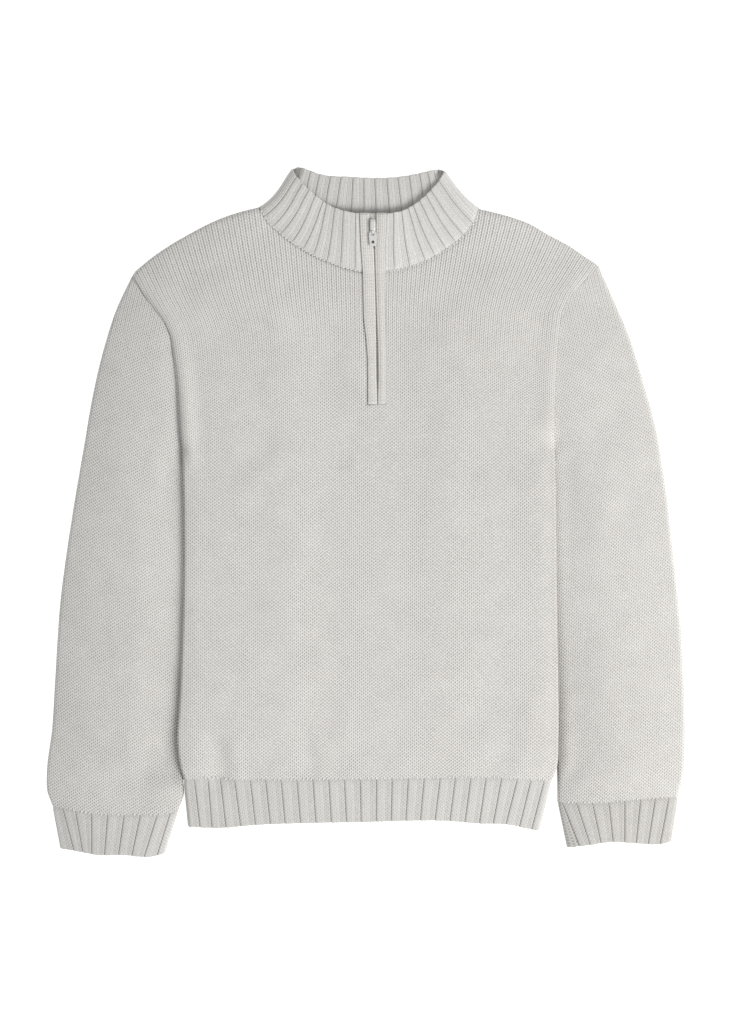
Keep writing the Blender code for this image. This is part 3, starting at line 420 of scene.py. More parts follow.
OUTER_EDGES = [line(rows, count=60) for rows in
               (SHOULDER_LEFT, SHOULDER_RIGHT, FOLD_LEFT, FOLD_RIGHT, SLEEVE_LEFT_OUTER,
                SLEEVE_RIGHT_OUTER)]
OUTER_EDGES += [cut_end(CUFF_LEFT_TOP, CUFF_LEFT_BOTTOM, 0),
                cut_end(CUFF_RIGHT_TOP, CUFF_RIGHT_BOTTOM, 0)]
BODY_SIDES = [curve(rows, "y")(np.linspace(0, UNDERARM, 60)) for rows in (BODY_LEFT, BODY_RIGHT)]
BODY_SIDES += [cut_end(HEM_TOP, HEM_BOTTOM, 0), cut_end(HEM_TOP, HEM_BOTTOM, -1)]
SLEEVE_SIDES = [line(SLEEVE_LEFT_INNER, count=60), line(SLEEVE_RIGHT_INNER, count=60),
                cut_end(CUFF_LEFT_TOP, CUFF_LEFT_BOTTOM, -1),
                cut_end(CUFF_RIGHT_TOP, CUFF_RIGHT_BOTTOM, -1)]
NECK_SEAM = [line(NECK_LEFT, count=40), line(NECK_RIGHT, count=40)]
COLLAR_FOLDS = [line(FOLD_LEFT, count=40), line(FOLD_RIGHT, count=40)]
ARMHOLES = [curve(rows, "y")(np.linspace(UNDERARM - 0.035, 1, 52))      # and a little below them
            for rows in (BODY_LEFT, BODY_RIGHT)]


def below_foot(plan, reach=MARGIN_TOP[0] - MARGIN_TOP[1]):
    """0 above the feet of the armholes and 1 a little below them."""
    foot = MARGIN_TOP[0] + np.where(plan[..., 0] > 0, RIGHT_HIGHER, 0.0)
    return step(plan[..., 1], foot, foot - reach)


def lie(plan, inside, sleeve=False, rise=0.0):
    """The outer heights of the front and back layers over points in plan, the plan's way inwards
    where an edge rolls, scaled by how steep the cloth stands there, and how level it lies."""
    outer, outer_way = nearest(plan, OUTER_EDGES, inside)
    inner, inner_way = nearest(plan, SLEEVE_SIDES if sleeve else BODY_SIDES, inside)
    neck, _ = nearest(plan, NECK_SEAM, inside)
    x, y = plan[..., 0], plan[..., 1]
    margin = below_foot(plan) * step(y, *MARGIN_BOTTOM)
    puff = np.maximum(step(outer, PUFF_REACH, PUFF_FULL) * PUFF,
                      step(neck, PUFF_REACH, NECK_PUFF_FULL) * NECK_PUFF)
    # the cloth is crowned away from the neck and the zip
    crown, edge_drop = (np.interp(x, SIDES_X, both) for both in (CROWN, EDGE_DROP))
    if sleeve:
        crown = crown + (CUFF_CROWN - crown) * step(y, *CUFF_SINKS)
    crown = crown - edge_drop * (1 - np.clip(outer / EDGE_REACH, 0, 1)) ** EDGE_CURVE
    crown = crown - SIDE_DROP * (1 - margin) * (1 - np.clip(inner / SIDE_REACH, 0, 1)) ** 2
    crowned = step(neck, *CROWN_FROM_NECK)
    if not sleeve:
        crowned = crowned * step(np.abs(x - MIDDLE_X), *CROWN_FROM_ZIP) * step(y, *CROWN_FROM_HEM)
    thick = (LAID + puff) * (1 - crowned) + crown * crowned
    lift = 0.0
    reach = (SLEEVE_MARGIN, MARGIN) if sleeve else (MARGIN_REACH, BODY_MARGIN)
    pressed = margin * step(inner, *reach)
    if sleeve:
        # the sleeve slopes down to its pressed margin, gently at the armhole's foot
        slope = (step(y, *SLOPE_HEIGHTS) * step(y, *MARGIN_BOTTOM)
                 * step(inner, MARGIN_REACH, MARGIN))
        pressed = 1 - (1 - pressed) * (1 - slope)
    thick = thick * (1 - pressed) + MARGIN_PRESS * pressed
    if not sleeve:
        thick = thick - MARGIN_THINS * pressed * (1 - np.clip(inner / THIN_REACH, 0, 1)) ** 2
        lift = MARGIN_LIFT * pressed
    thick = thick + rise * (1 - RISE_DROP * step(np.abs(x - MIDDLE_X), *RISE_DROP_FROM)
                            - FOLD_DROP * bell(outer, FOLD_DROP_REACH))
    # the sides begin to roll below the armhole's foot
    roll = ROLL_RATIO * thick / 2
    steep = np.maximum(1 - np.minimum(outer / roll, 1),
                       (1 - np.minimum(inner / roll, 1)) * below_foot(plan, ROLL_START))
    level = np.sqrt(1 - steep * steep)
    middle, half_gap = thick / 2, 0.0 if sleeve or np.any(rise) else SEAM / 2
    half = (middle - half_gap) * level
    front, back = middle + half_gap + half + lift, middle - half_gap - half + lift
    way = np.where((outer < inner)[..., None], outer_way, inner_way) * steep[..., None]
    return front, back, way, level


def raised(plan, height):
    """Plan points with their heights."""
    return np.concatenate([plan, np.broadcast_to(height, plan.shape[:-1])[..., None]], axis=-1)


def layer(plan, inside, face, wall, relief=0.0, sleeve=False, rise=0.0):
    """The outer and inner points of one layer; face is 1 for the front and -1 for the back. Its
    relief stands along the cloth's normal, and stays off the ground on the back."""
    front, back, way, level = lie(plan, inside, sleeve, rise)
    height = front if face > 0 else back
    normal = np.concatenate([-way, (face * level)[..., None]], axis=-1)
    relief = np.broadcast_to(relief, plan.shape[:-1])
    if face < 0 and not np.any(rise):
        relief = relief - np.maximum(relief, 0) * level
    moved = normal * relief[..., None]
    inner = raised(plan + way * wall, height - face * level * wall)
    return raised(plan, height) + moved, inner + moved


def cloth(name, outer, inner, stitches, surface, painted_shade=0.0, turned=False, left_out=None,
          closed_rows=0):
    """A thin wall of cloth between two grids of points. In its closed rows, counted from the first,
    the last column is the first one again; turned faces look the other way. Stitches gives the
    place of each point across the wales and along the courses, and painted_shade how much
    shade is painted on it."""
    rows, columns = outer.shape[:2]
    total = rows * columns
    index = np.arange(total).reshape(rows, columns)
    cells = np.stack([index[:-1, :-1], index[:-1, 1:], index[1:, 1:], index[1:, :-1]], axis=-1)
    cells = cells[~left_out] if left_out is not None else cells.reshape(-1, 4)
    if turned:
        cells = cells[:, ::-1]
    same = index.copy()
    same[:closed_rows, -1] = same[:closed_rows, 0]
    same = same.reshape(-1)
    start, end = cells.reshape(-1), np.roll(cells, -1, axis=1).reshape(-1)
    lone = ~np.isin(same[start] * total + same[end], same[end] * total + same[start])
    rims = np.stack([end[lone], start[lone], start[lone] + total, end[lone] + total], axis=1)
    faces = np.concatenate([cells, cells[:, ::-1] + total, rims])
    used, lookup = np.unique(np.concatenate([same, same + total]), return_inverse=True)
    lookup = lookup.reshape(-1)
    points = np.concatenate([outer.reshape(-1, 3), inner.reshape(-1, 3)])[used] * MM
    mesh = bpy.data.meshes.new(name)
    mesh.from_pydata(points.tolist(), [], lookup[faces].tolist())
    layer_uv = mesh.uv_layers.new(name="stitches")
    places = np.tile(stitches.reshape(-1, 2), (2, 1))[faces.reshape(-1)] * MM
    layer_uv.data.foreach_set("uv", places.ravel())
    for kind, values in (("painted_shade", np.broadcast_to(painted_shade, (rows, columns))),
                         ("drawn", step(outer[..., 1], *DRAWN))):
        values = np.tile(values.reshape(-1), 2)[used]
        mesh.attributes.new(kind, "FLOAT", "POINT").data.foreach_set("value", values.ravel())
    mesh.shade_smooth()
    mesh.set_sharp_from_angle(angle=math.radians(60))
    return new_piece(name, mesh, surface)


def new_piece(name, mesh, surface):
    """An object for a mesh, in the scene."""
    mesh.materials.append(surface)
    made = bpy.data.objects.new(name, mesh)
    bpy.context.scene.collection.objects.link(made)
    return made


def declare(made, slot, *nodes, body="sweater"):
    """Put a piece on the body it rides on, and hide the solids it stands for. Its slot, naming
    where its finish comes from, is not used.
    """
    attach(made, body)
    if nodes:
        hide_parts(*nodes)


def rounded(outer, inner, last=False, bulge=0.0):
    """Both grids with rows added that close a bound-off edge in a half round."""
    if last:
        outer, inner = outer[::-1], inner[::-1]
    middle, half = (outer[0] + inner[0]) / 2, (outer[0] - inner[0]) / 2
    out = middle - (outer[2] + inner[2]) / 2
    out /= np.linalg.norm(out, axis=-1, keepdims=True)
    radius = np.linalg.norm(half, axis=-1, keepdims=True)
    turn = np.linspace(0, math.pi / 2 - 0.15, EDGE_ROWS + 1)[::-1, None, None]
    start = middle - out * radius
    rim = start + out * (radius + np.reshape(bulge, (-1, 1))) * np.sin(turn)
    outer = np.concatenate([rim + half * np.cos(turn), outer[1:]])
    inner = np.concatenate([rim - half * np.cos(turn), inner[1:]])
    return (outer[::-1], inner[::-1]) if last else (outer, inner)


def rows_added(grid, last=False):
    """A grid of values with its edge row repeated where a rounded edge adds rows."""
    if last:
        return np.concatenate([grid, np.repeat(grid[-1:], EDGE_ROWS, axis=0)])
    return np.concatenate([np.repeat(grid[:1], EDGE_ROWS, axis=0), grid])


def panel(left, right, bottom, top, across, up, bottom_fade=1, top_fade=1):
    """Plan points of a panel: ruled between its sides, and bent to its two ends."""
    s, v = across[None, :, None], up[:, None, None]
    low, high = (end(across) - end(0) * (1 - across[:, None]) - end(1) * across[:, None]
                 for end in (bottom, top))
    return (left(up)[:, None] * (1 - s) + right(up)[:, None] * s
            + (1 - v) ** bottom_fade * low + v ** top_fade * high)


def zip_at(y):
    """The zip's rows read at some heights: left edge, slit, half the slit's width, right edge."""
    table = np.array(ZIP_ROWS)
    return [np.interp(y, table[:, 0], column) for column in table.T[1:]]


def slot_edge(side, y):
    """An edge of the slot in the front, just under the edge of a zip band."""
    left, _, _, right = zip_at(np.maximum(y, ZIP_FOOT_Y))
    return left + SLOT_TUCK if side == "left" else right - SLOT_TUCK


HEM_X, HEM_Y = np.array(HEM_TOP, float).T
HEM_MIDDLE_Y = float(np.interp(slot_edge("left", 0.0), HEM_X, HEM_Y))


def hem_line(start=HEM_X[0], end=HEM_X[-1]):
    """The top of the hem between two x."""
    def at(share):
        x = start + np.asarray(share, float) * (end - start)
        return np.stack([x, np.interp(x, HEM_X, HEM_Y)], axis=-1)
    return at


def slot_line(side, low, high):
    """An edge of the slot between two heights."""
    def at(share):
        y = low + share * (high - low)
        return np.stack([slot_edge(side, y), y], axis=-1)
    return at


def body_halves():
    """Plan grids of the left and right halves of the front, from the hem to the shoulders."""
    left = panel(curve(BODY_LEFT, "y"), slot_line("left", HEM_MIDDLE_Y, NECK_Y),
                 hem_line(end=slot_edge("left", 0.0)),
                 join(curve(SHOULDER_LEFT, "x"), curve(NECK_LEFT, "x"), NECK_SHARE),
                 HALF_ACROSS, BODY_UP, top_fade=3)
    right = panel(slot_line("right", HEM_MIDDLE_Y, NECK_Y), curve(BODY_RIGHT, "y"),
                  hem_line(start=slot_edge("right", 0.0)),
                  join(curve(NECK_RIGHT, "x"), curve(SHOULDER_RIGHT, "x"), 1 - NECK_SHARE),
                  1 - HALF_ACROSS[::-1], BODY_UP, top_fade=3)
    return left, right


def armhole_ease(plan):
    """The body stands up a little along the armhole, and dips into its seam."""
    far = nearest(plan, ARMHOLES, BODY_INSIDE)[0]
    strong = by_side(plan, BODY_EASE) * (1 - below_foot(plan))
    ridge = RIDGE + RIDGE_GROWS * step(plan[..., 1], *EASE_HEIGHTS)
    return strong * (ridge * bell(far - RIDGE_OUT, RIDGE_OUT) - DIP * bell(far, DIP_WIDE))


def sleeve_ease(plan, inside):
    """The sleeve sinks beside the armhole."""
    far = nearest(plan, ARMHOLES, inside)[0]
    strong = by_side(plan, SLEEVE_EASE) * (1 - below_foot(plan))
    return -strong * (SINK + SINK_GROWS * step(plan[..., 1], *EASE_HEIGHTS)) * bell(far, SINK_WIDE)


def neck_ease(plan):
    """The front dips along the neck seam."""
    far = nearest(plan, NECK_SEAM, BODY_INSIDE)[0]
    return by_side(plan, NECK_DIP) * bell(far, NECK_DIP_WIDE)


def band_shade(plan):
    """How deep a point lies by the left zip band or round its foot: for a dip and painted shade."""
    x, y = plan[..., 0], plan[..., 1]
    left, slit, _, _ = zip_at(y)
    beside = np.abs(left - x) + np.maximum(ZIP_FOOT_Y - 0.5 - y, 0) * 3
    below = np.maximum(ZIP_FOOT_Y - y, 0) + np.maximum(left - x, 0) + np.maximum(x - slit, 0)
    return bell(beside, 1.1) + 0.6 * bell(below, 0.8) * (y < ZIP_FOOT_Y)


def seam_painted_shade(plan):
    """Painted shade on the front in its armhole and neck seams, along its sides, and by the zip."""
    armhole, neck, side = (nearest(plan, paths, BODY_INSIDE)[0]
                           for paths in (ARMHOLES, NECK_SEAM, BODY_SIDES[:2]))
    deep, below = by_side(plan, SEAM_PAINTED_SHADE), below_foot(plan)
    side = by_side(plan, SIDE_PAINTED_SHADE) * bell(side, by_side(plan, SIDE_WIDE))
    return (1.2 * deep * bell(armhole, 1.2) * (1 - below) + side * below + deep * bell(neck, 1.1)
            + BAND_DIP * band_shade(plan))


def body_stitches(plan):
    """Places across the wales and along the courses of the front or back. Beside the armholes the
    wales run along the seam, and they fan out to it from the middle."""
    x, y = plan[..., 0] - MIDDLE_X, plan[..., 1]
    u = x.copy()
    for rows, side in ((BODY_LEFT, x < 0), (BODY_RIGHT, x >= 0)):
        edge_x, edge_y = np.array(rows, float).T
        foot = np.argmax(edge_y > FAN_FOOT)
        slope = (edge_x[-1] - edge_x[-2]) / (edge_y[-1] - edge_y[-2])
        at = np.interp(y, edge_y, edge_x) + slope * np.maximum(y - edge_y[-1], 0)
        shift = np.where(y > edge_y[foot], at - edge_x[foot], 0.0)
        share = np.clip(x / (at - MIDDLE_X), 0, 1.2) ** FAN
        u = np.where(side, x - FAN_SHARE * shift * share, u)
    return np.stack([u, y + COURSES_FROM + SAG * x * x * step(y, *SAG_HEIGHTS)], axis=-1)


def front_body(surface):
    """The front panel, open under the zip bands."""
    halves = body_halves()
    grids = [layer(half, BODY_INSIDE, 1, WALL, creases(half, FRONT_CREASES) + armhole_ease(half)
                   + neck_ease(half) - BAND_DIP * band_shade(half)) for half in halves]
    outer, inner = (np.concatenate(pair, axis=1) for pair in zip(*grids))
    plan = np.concatenate(halves, axis=1)
    stitches = body_stitches(plan)
    slot = np.zeros((len(BODY_UP) - 1, stitches.shape[1] - 1), bool)
    foot = np.searchsorted(BODY_UP, 1 - SLOT_SHARE * (1 - UNDERARM) - 1e-6)
    slot[foot:, len(HALF_ACROSS) - 1] = True
    made = cloth("front_body_knit", outer, inner, stitches, surface, seam_painted_shade(plan),
                 left_out=slot)
    declare(made, "knit", "front_body")


def back_body(surface):
    """The back panel, with its outer side on the ground."""
    shoulder_left, shoulder_right = curve(SHOULDER_LEFT, "x"), curve(SHOULDER_RIGHT, "x")
    neck, wide = curve(NECK_BACK, "x"), NECK_SHARE / 2
    outer = HALF_ACROSS[HALF_ACROSS < NECK_SHARE]
    across = np.concatenate([outer / 2, spaced(wide, 1 - wide, 64, fine_start=0.02, fine_end=0.02),
                             1 - outer[::-1] / 2])

    def top(share):
        share = np.asarray(share, float)
        middle = neck((share - wide) / (1 - 2 * wide))
        right = shoulder_right((share - 1 + wide) / wide)
        share = share[..., None]
        return np.where(share < wide, shoulder_left(share[..., 0] / wide),
                        np.where(share <= 1 - wide, middle, right))

    plan = panel(curve(BODY_LEFT, "y"), curve(BODY_RIGHT, "y"), hem_line(), top, across, BODY_UP,
                 top_fade=3)
    outer, inner = layer(plan, BODY_INSIDE, -1, WALL, creases(plan, BACK_CREASES) * 0.6)
    made = cloth("back_body_knit", outer, inner, body_stitches(plan), surface, turned=True)
    declare(made, "knit", "back_body")


def sleeve_plan(outer, inner, body_side, cuff):
    """A sleeve in plan, from its cuff up, and from its outer edge inwards. The upper part of the
    armhole is its top row, and the lower part is the end of its inner side."""
    seam = curve(body_side, "y")(BODY_UP)[::-1]
    turn, underarm = int(np.argmin(np.abs(ARM - ARM_TURN))), len(ARM) - 1
    run = run_along(seam[:turn + 1])
    top = at_run(seam[:turn + 1], run, SLEEVE_ACROSS * run[-1])
    inner_side = np.concatenate([seam[turn:underarm + 1], curve(inner)(SLEEVE_BELOW)])
    level = (ARM[turn:] - ARM[turn]) / (1 - ARM[turn])
    outer_side = curve(outer)(np.concatenate([level * OUTER_AT_UNDERARM, OUTER_AT_UNDERARM
                                              + SLEEVE_BELOW * (1 - OUTER_AT_UNDERARM)]))
    across = SLEEVE_ACROSS[None, :, None]
    down = np.concatenate([level * 0.35, 0.35 + SLEEVE_BELOW * 0.65])[:, None, None]
    bow_top, bow_end = (row - (row[0] * (1 - across[0]) + row[-1] * across[0])
                        for row in (top, curve(cuff)(SLEEVE_ACROSS)))
    plan = (outer_side[:, None] * (1 - across) + inner_side[:, None] * across
            + (1 - down) ** 4 * bow_top + down ** 4 * bow_end)
    return plan[::-1], len(SLEEVE_BELOW) + 1


def sleeve_stitches(plan, axis, closer, skew):
    """Places across the wales and along the courses of a sleeve, measured from its bent axis; the
    courses slant by the skew."""
    x, y = np.array(axis, float).T
    fine = np.linspace(y[0] - 20, y[-1] + 40, 400)
    bend = np.polyfit(y, x, 3)
    centre, slope = np.polyval(bend, fine), np.polyval(np.polyder(bend), fine)
    run = np.concatenate([[0], np.cumsum(np.sqrt(1 + slope[1:] ** 2) * np.diff(fine))])
    m = np.interp(plan[..., 1], fine, slope)
    off = plan[..., 0] - np.interp(plan[..., 1], fine, centre)
    root = np.sqrt(1 + m * m)
    along = np.interp(plan[..., 1], fine, run) + off * (m / root + skew)
    return np.stack([off / root * closer, along], axis=-1)


def tube(name, layers, stitches, painted_shade, surface, closed_rows, mirrored, under=None):
    """A flattened tube of cloth: its back layer, its outer edge and its front layer. Under is the
    shade painted on the back layer, where that differs."""
    (front, front_inner), (back, back_inner) = layers
    outer = np.concatenate([back[:, ::-1], front[:, 1:]], axis=1)
    inner = np.concatenate([back_inner[:, ::-1], front_inner[:, 1:]], axis=1)
    places = np.concatenate([stitches[:, ::-1], stitches[:, 1:]], axis=1)
    deep = np.concatenate([(painted_shade if under is None else under)[:, ::-1], painted_shade[:, 1:]], axis=1)
    return cloth(name, outer, inner, places, surface, deep, mirrored, closed_rows=closed_rows)


def sleeve(side, outer, inner, body_side, cuff, axis, surface):
    """A sleeve, from its armhole to its cuff."""
    plan, closed_rows = sleeve_plan(outer, inner, body_side, cuff)
    inside = SLEEVE_INSIDE[side]
    relief = 0.5 * creases(plan, SLEEVE_CREASES)
    layers = (layer(plan, inside, 1, WALL, relief + sleeve_ease(plan, inside), sleeve=True),
              layer(plan, inside, -1, WALL, relief * 0.5, sleeve=True))
    name = "sleeve_" + side
    # painted shadow on the sleeve beside the body's edge, where it goes under the body, and painted
    # shade over the lower sleeve towards it; the back layer gets only the even painted shade
    y, beside = plan[..., 1], nearest(plan, BODY_SIDES[:2], inside)[0]
    even = np.full(y.shape, SLEEVE_SHADE[side])
    fold = np.interp(y, FOLD_AT, FOLD_PAINTED_SHADE[side]) * step(y, *FOLD_STARTS)
    lower, reach = LOWER_SHADE[side]
    shade = (even + fold * bell(beside, np.interp(y, FOLD_AT, FOLD_WIDE))
             + lower * step(y, *LOWER_STARTS) * bell(beside, reach))
    made = tube(name + "_knit", layers, sleeve_stitches(plan, axis, *SLEEVE_GRAIN[side]), shade,
                surface, closed_rows, side == "right", under=even)
    declare(made, "knit", name)


RIB_ROWS = spaced(0, 1, 18, fine_start=0.06)


def rib_stitches(plan, place):
    """Places across and along the ribs, so that each rib holds a whole number of wales."""
    run = np.linalg.norm(np.diff(plan, axis=0), axis=-1)
    v = np.concatenate([np.zeros((1, plan.shape[1])), np.cumsum(run, axis=0)])
    return np.stack([np.broadcast_to(place * WALES_A_RIB * WALE, v.shape), v], axis=-1)


def rib_shares(seam, edge, furrows):
    """The place among the ribs of each column of a ribbed piece, and where it starts along the
    seam and ends along the open edge."""
    (low, high), ends = (sorted((path(0.0)[0], path(1.0)[0])) for path in (seam, edge))
    x, place = rib_columns(furrows, low, high)
    table = np.array(sorted([(low, ends[0]), *furrows, (high, ends[1])]))
    return place, share_at_x(seam, x), share_at_x(edge, np.interp(x, *table.T))


def ribbed(seam, edge, furrows, mirrored=False):
    """A ribbed piece from its open edge to its seam: its plan, the place of each column among the
    ribs, the height of its ribs and the places of its stitches."""
    place, start, end = rib_shares(seam, edge, furrows)
    top, foot = seam(start), edge(end)
    if mirrored:
        top, foot, place = top[::-1], foot[::-1], place[::-1]
    down = RIB_ROWS[:, None, None]
    plan = top * (1 - down) + foot * down
    start = step(1 - RIB_ROWS[::-1], 1.0, 0.9)[:, None]
    relief = rib_relief(place) * start - 0.5 * (1 - start)
    return plan[::-1], place, relief, rows_added(rib_stitches(plan, place)[::-1])


def rib_painted_shade(place, rows, base=0.0):
    """Painted shade in the furrows and laid-back wales of the ribs, over a base painted shade."""
    p, beside = in_rib(place)
    deep = (base + FURROW_SHADE * bell(beside, FURROW_SHADE_WIDE)
            + LAID_BACK_SHADE * (1 - step(p, 0, 0.12) + step(p, 0.46, 0.6)))
    return np.broadcast_to(np.clip(deep, 0, 1), (rows, len(p)))


def hem_rib(name, node, face, surface):
    """The front or back layer of the hem rib."""
    plan, place, relief, stitches = ribbed(hem_line(), curve(HEM_BOTTOM, "x"), HEM_FURROWS)
    if face > 0:
        relief = relief + creases(plan, FRONT_CREASES)
    outer, inner = rounded(*layer(plan, BODY_INSIDE, face, RIB_WALL, relief),
                           bulge=rib_relief(place) * 0.5)
    # painted shade in the rib furrows and over the whole hem
    made = cloth(name, outer, inner, stitches, surface, rib_painted_shade(place, len(outer), HEM_SHADE),
                 turned=face < 0)
    declare(made, "rib", node)


def cuff(side, top, bottom, furrows, surface):
    """A cuff, a flattened tube of ribs."""
    plan, place, relief, stitches = ribbed(curve(top), curve(bottom), furrows, side == "right")
    layers = [rounded(*layer(plan, SLEEVE_INSIDE[side], face, RIB_WALL,
                             relief + creases(plan, SLEEVE_CREASES) * (face > 0), sleeve=True),
                      bulge=rib_relief(place) * 0.5) for face in (1, -1)]
    rows = len(stitches)
    # painted shade in the rib furrows and over the whole cuff
    made = tube("cuff_" + side + "_rib", layers, stitches,
                rib_painted_shade(place, rows, CUFF_SHADE[side]), surface, rows, side == "right")
    declare(made, "rib", "cuff_" + side)


def collar(surface):
    """The collar: its front raised over its back, folded at both sides, open at the zip."""
    rise = collar_rise(COLLAR_UP)[:, None]
    grids, places = [], []
    for seam, rim, furrows, left, right, face in (
            (curve(NECK_LEFT, "x"), curve(RIM_LEFT), COLLAR_LEFT_FURROWS, curve(FOLD_LEFT),
             slot_line("left", NECK_Y, RIM_Y), 1),
            (curve(NECK_BACK, "x"), curve(RIM_BACK), COLLAR_BACK_FURROWS, curve(FOLD_LEFT),
             curve(FOLD_RIGHT), -1),
            (curve(NECK_RIGHT, "x"), curve(RIM_RIGHT), COLLAR_RIGHT_FURROWS,
             slot_line("right", NECK_Y, RIM_Y), curve(FOLD_RIGHT), 1)):
        place, across, rim_share = rib_shares(seam, rim, furrows)
        for shares in (across, rim_share):
            shares[0], shares[-1] = 0.0, 1.0
        plan = panel(left, right, seam, lambda share: rim(np.interp(share, across, rim_share)),
                     across, COLLAR_UP)
        # inside out, the back layer shows its inner face, so its ribs are drawn on that side
        start = step(COLLAR_UP, 0.0, 0.09)[:, None]
        relief = rib_relief(place) * start - 0.6 * (1 - start)
        if face > 0:
            relief = relief - BAND_DIP * band_shade(plan)
        outer, inner = layer(plan, COLLAR_INSIDE, face, RIB_WALL, relief if face > 0 else -relief,
                             rise=rise)
        if face < 0:
            outer[..., 2] = np.maximum(outer[..., 2], 0.0)
            stood = BACK_RISE * np.sin(COLLAR_UP * math.pi / 2)[:, None] ** 0.75 * step(
                nearest(plan, COLLAR_FOLDS, COLLAR_INSIDE)[0], *BACK_RISE_FROM)
            outer[..., 2] += stood
            inner[..., 2] += stood
        outer, inner = rounded(outer, inner, last=True, bulge=rib_relief(place) * 0.6)
        stitches = rows_added(rib_stitches(plan, place), last=True)
        grids.append((outer, inner))
        # painted shade in the rib furrows, over the collar's whole back, and beside the left zip
        # band
        painted_shade = rib_painted_shade(place, len(outer), 0.0 if face > 0 else COLLAR_BACK_SHADE)
        if face > 0:
            painted_shade = painted_shade + BAND_DIP * rows_added(band_shade(plan), last=True)
        places.append((stitches, painted_shade, place))
    (left, back, right), (a, b, c) = grids, places
    # across the folds the wales run on, on a whole number of quarter ribs
    for one, end in ((a, 0), (c, -1)):
        fold = round(4 * (b[2][end] + one[2][end])) / 4
        one[0][..., 0] = fold * WALES_A_RIB * WALE - one[0][..., 0]
    outer, inner, stitches, painted_shade = (
        np.concatenate([first[:, :0:-1], middle, last[:, -2::-1]], axis=1)
        for first, middle, last in (*zip(left, back, right), *zip(a[:2], b[:2], c[:2])))
    made = cloth("collar_rib", outer, inner, stitches, surface, painted_shade, turned=True)
    declare(made, "rib", "collar")


def collar_rise(share):
    """How much the collar's front stands above its seam at a share of its height."""
    return COLLAR_RISE * np.sin(share * math.pi / 2)


def front_top(x, y):
    """Height of the front or the collar along the zip."""
    plan = np.stack(np.broadcast_arrays(x, y), axis=-1).astype(float)
    share = np.clip((plan[..., 1] - NECK_Y) / (RIM_Y - NECK_Y), 0, 1)
    return lie(plan, BODY_INSIDE, rise=collar_rise(share))[0]


def zip_band(side, surface):
    """One of the two bands that frame the zip: a narrow strip knitted across, with round edges."""
    y = np.arange(ZIP_FOOT_Y, RIM_Y + 0.3, BAND_ROW)
    left, slit, half, right = zip_at(y)
    across = (1 - np.cos(np.linspace(0, math.pi, 15))) / 2
    start, end = (left, slit - half) if side == "left" else (slit + half, right)
    x = start[:, None] + (end - start)[:, None] * across
    ys = np.broadcast_to(y[:, None], x.shape)
    crown = np.sin(across * math.pi) ** BAND_ROUND
    if side == "right":
        # its outer edge runs level into the front
        crown = np.sin(np.minimum(across, 0.5) * math.pi) ** BAND_ROUND
        crown = crown * (1 - 0.85 * step(across, 0.35, 1))
    courses = np.cos(ys * 2 * math.pi / COURSE)
    ridge = BAND_RIDGE * courses * crown
    # a furrow where the band is folded over beside the slit
    furrow = bell(across - BAND_FOLD[side], BAND_FURROW_WIDE)
    crown = BAND_PROUD * crown + ridge - BAND_FURROW * furrow
    ends = np.minimum(step(ys, ZIP_FOOT_Y, ZIP_FOOT_Y + BAND_END),
                      step(ys, RIM_Y, RIM_Y - BAND_END))
    top = front_top(x, ys) + crown - BAND_END_DROP * (1 - ends)
    outer = np.stack([x, ys, top], axis=-1)
    inner = np.stack([x, ys, top - BAND_WALL * np.sin(across * math.pi) ** 0.3 - 0.15], axis=-1)
    places = np.stack([x - start[:, None], ys], axis=-1)
    # painted shade in the band's furrow and between its courses, and over the whole right band
    painted_shade = BAND_FURROW_SHADE * furrow + BAND_ROW_SHADE * (0.5 - 0.5 * courses)
    if side == "right":
        painted_shade = painted_shade + RIGHT_BAND_SHADE
    name = "zip_band_" + side
    made = cloth(name + "_facing", outer, inner, places, surface, painted_shade)
    declare(made, "band", name)


def zip_tape(surface):
    """The woven tape under the two bands."""
    y = np.linspace(ZIP_FOOT_Y, RIM_Y, 60)
    _, slit, _, _ = zip_at(y)
    x = slit[:, None] + np.linspace(-TAPE_HALF, TAPE_HALF, 13)
    ys = np.broadcast_to(y[:, None], x.shape)
    top = front_top(x, ys) - TAPE_SUNK + TAPE_RISES * step(ys, 200, 215)
    outer, inner = (np.stack([x, ys, top - drop], axis=-1) for drop in (0.0, TAPE_WALL))
    made = cloth("zip_tape_woven", outer, inner, np.stack([x, ys], axis=-1), surface)
    declare(made, "tape", "zip_tape")


def zip_coil(side, surface):
    """One half of the nylon coil: a fine helix along the slit."""
    around, ring = 9, 5
    turns = int((RIM_Y - 14 - ZIP_FOOT_Y) / COIL_PITCH)
    t = np.linspace(0, turns, turns * around + 1)
    y = ZIP_FOOT_Y + 1 + t * COIL_PITCH + (COIL_PITCH / 2 if side > 0 else 0)
    _, slit, half, _ = zip_at(y)
    open_by = np.maximum(half - 0.9, 0)
    angle = t * 2 * math.pi
    centre = np.stack([slit + side * (COIL_OUT + open_by) + COIL_WIDE * np.cos(angle), y,
                       front_top(slit, y) - COIL_HIGH + COIL_HIGH * np.sin(angle)], axis=-1)
    along = np.gradient(centre, axis=0)
    along /= np.linalg.norm(along, axis=1, keepdims=True)
    first = np.cross(along, [0, 1, 0])
    first /= np.linalg.norm(first, axis=1, keepdims=True)
    second = np.cross(along, first)
    turn = np.linspace(0, 2 * math.pi, ring, endpoint=False)
    wire = first[:, None] * np.cos(turn)[:, None] + second[:, None] * np.sin(turn)[:, None]
    points = (centre[:, None] + COIL_WIRE * wire).reshape(-1, 3)
    index = np.arange(len(points)).reshape(-1, ring)
    faces = np.stack([index[:-1], np.roll(index[:-1], -1, 1), np.roll(index[1:], -1, 1), index[1:]],
                     axis=-1).reshape(-1, 4).tolist()
    faces += [index[0][::-1].tolist(), index[-1].tolist()]
    mesh = bpy.data.meshes.new("coil")
    mesh.from_pydata((points * MM).tolist(), [], faces)
    mesh.shade_smooth()
    made = new_piece("zip_coil_" + ("left" if side < 0 else "right"), mesh, surface)
    declare(made, "tape")


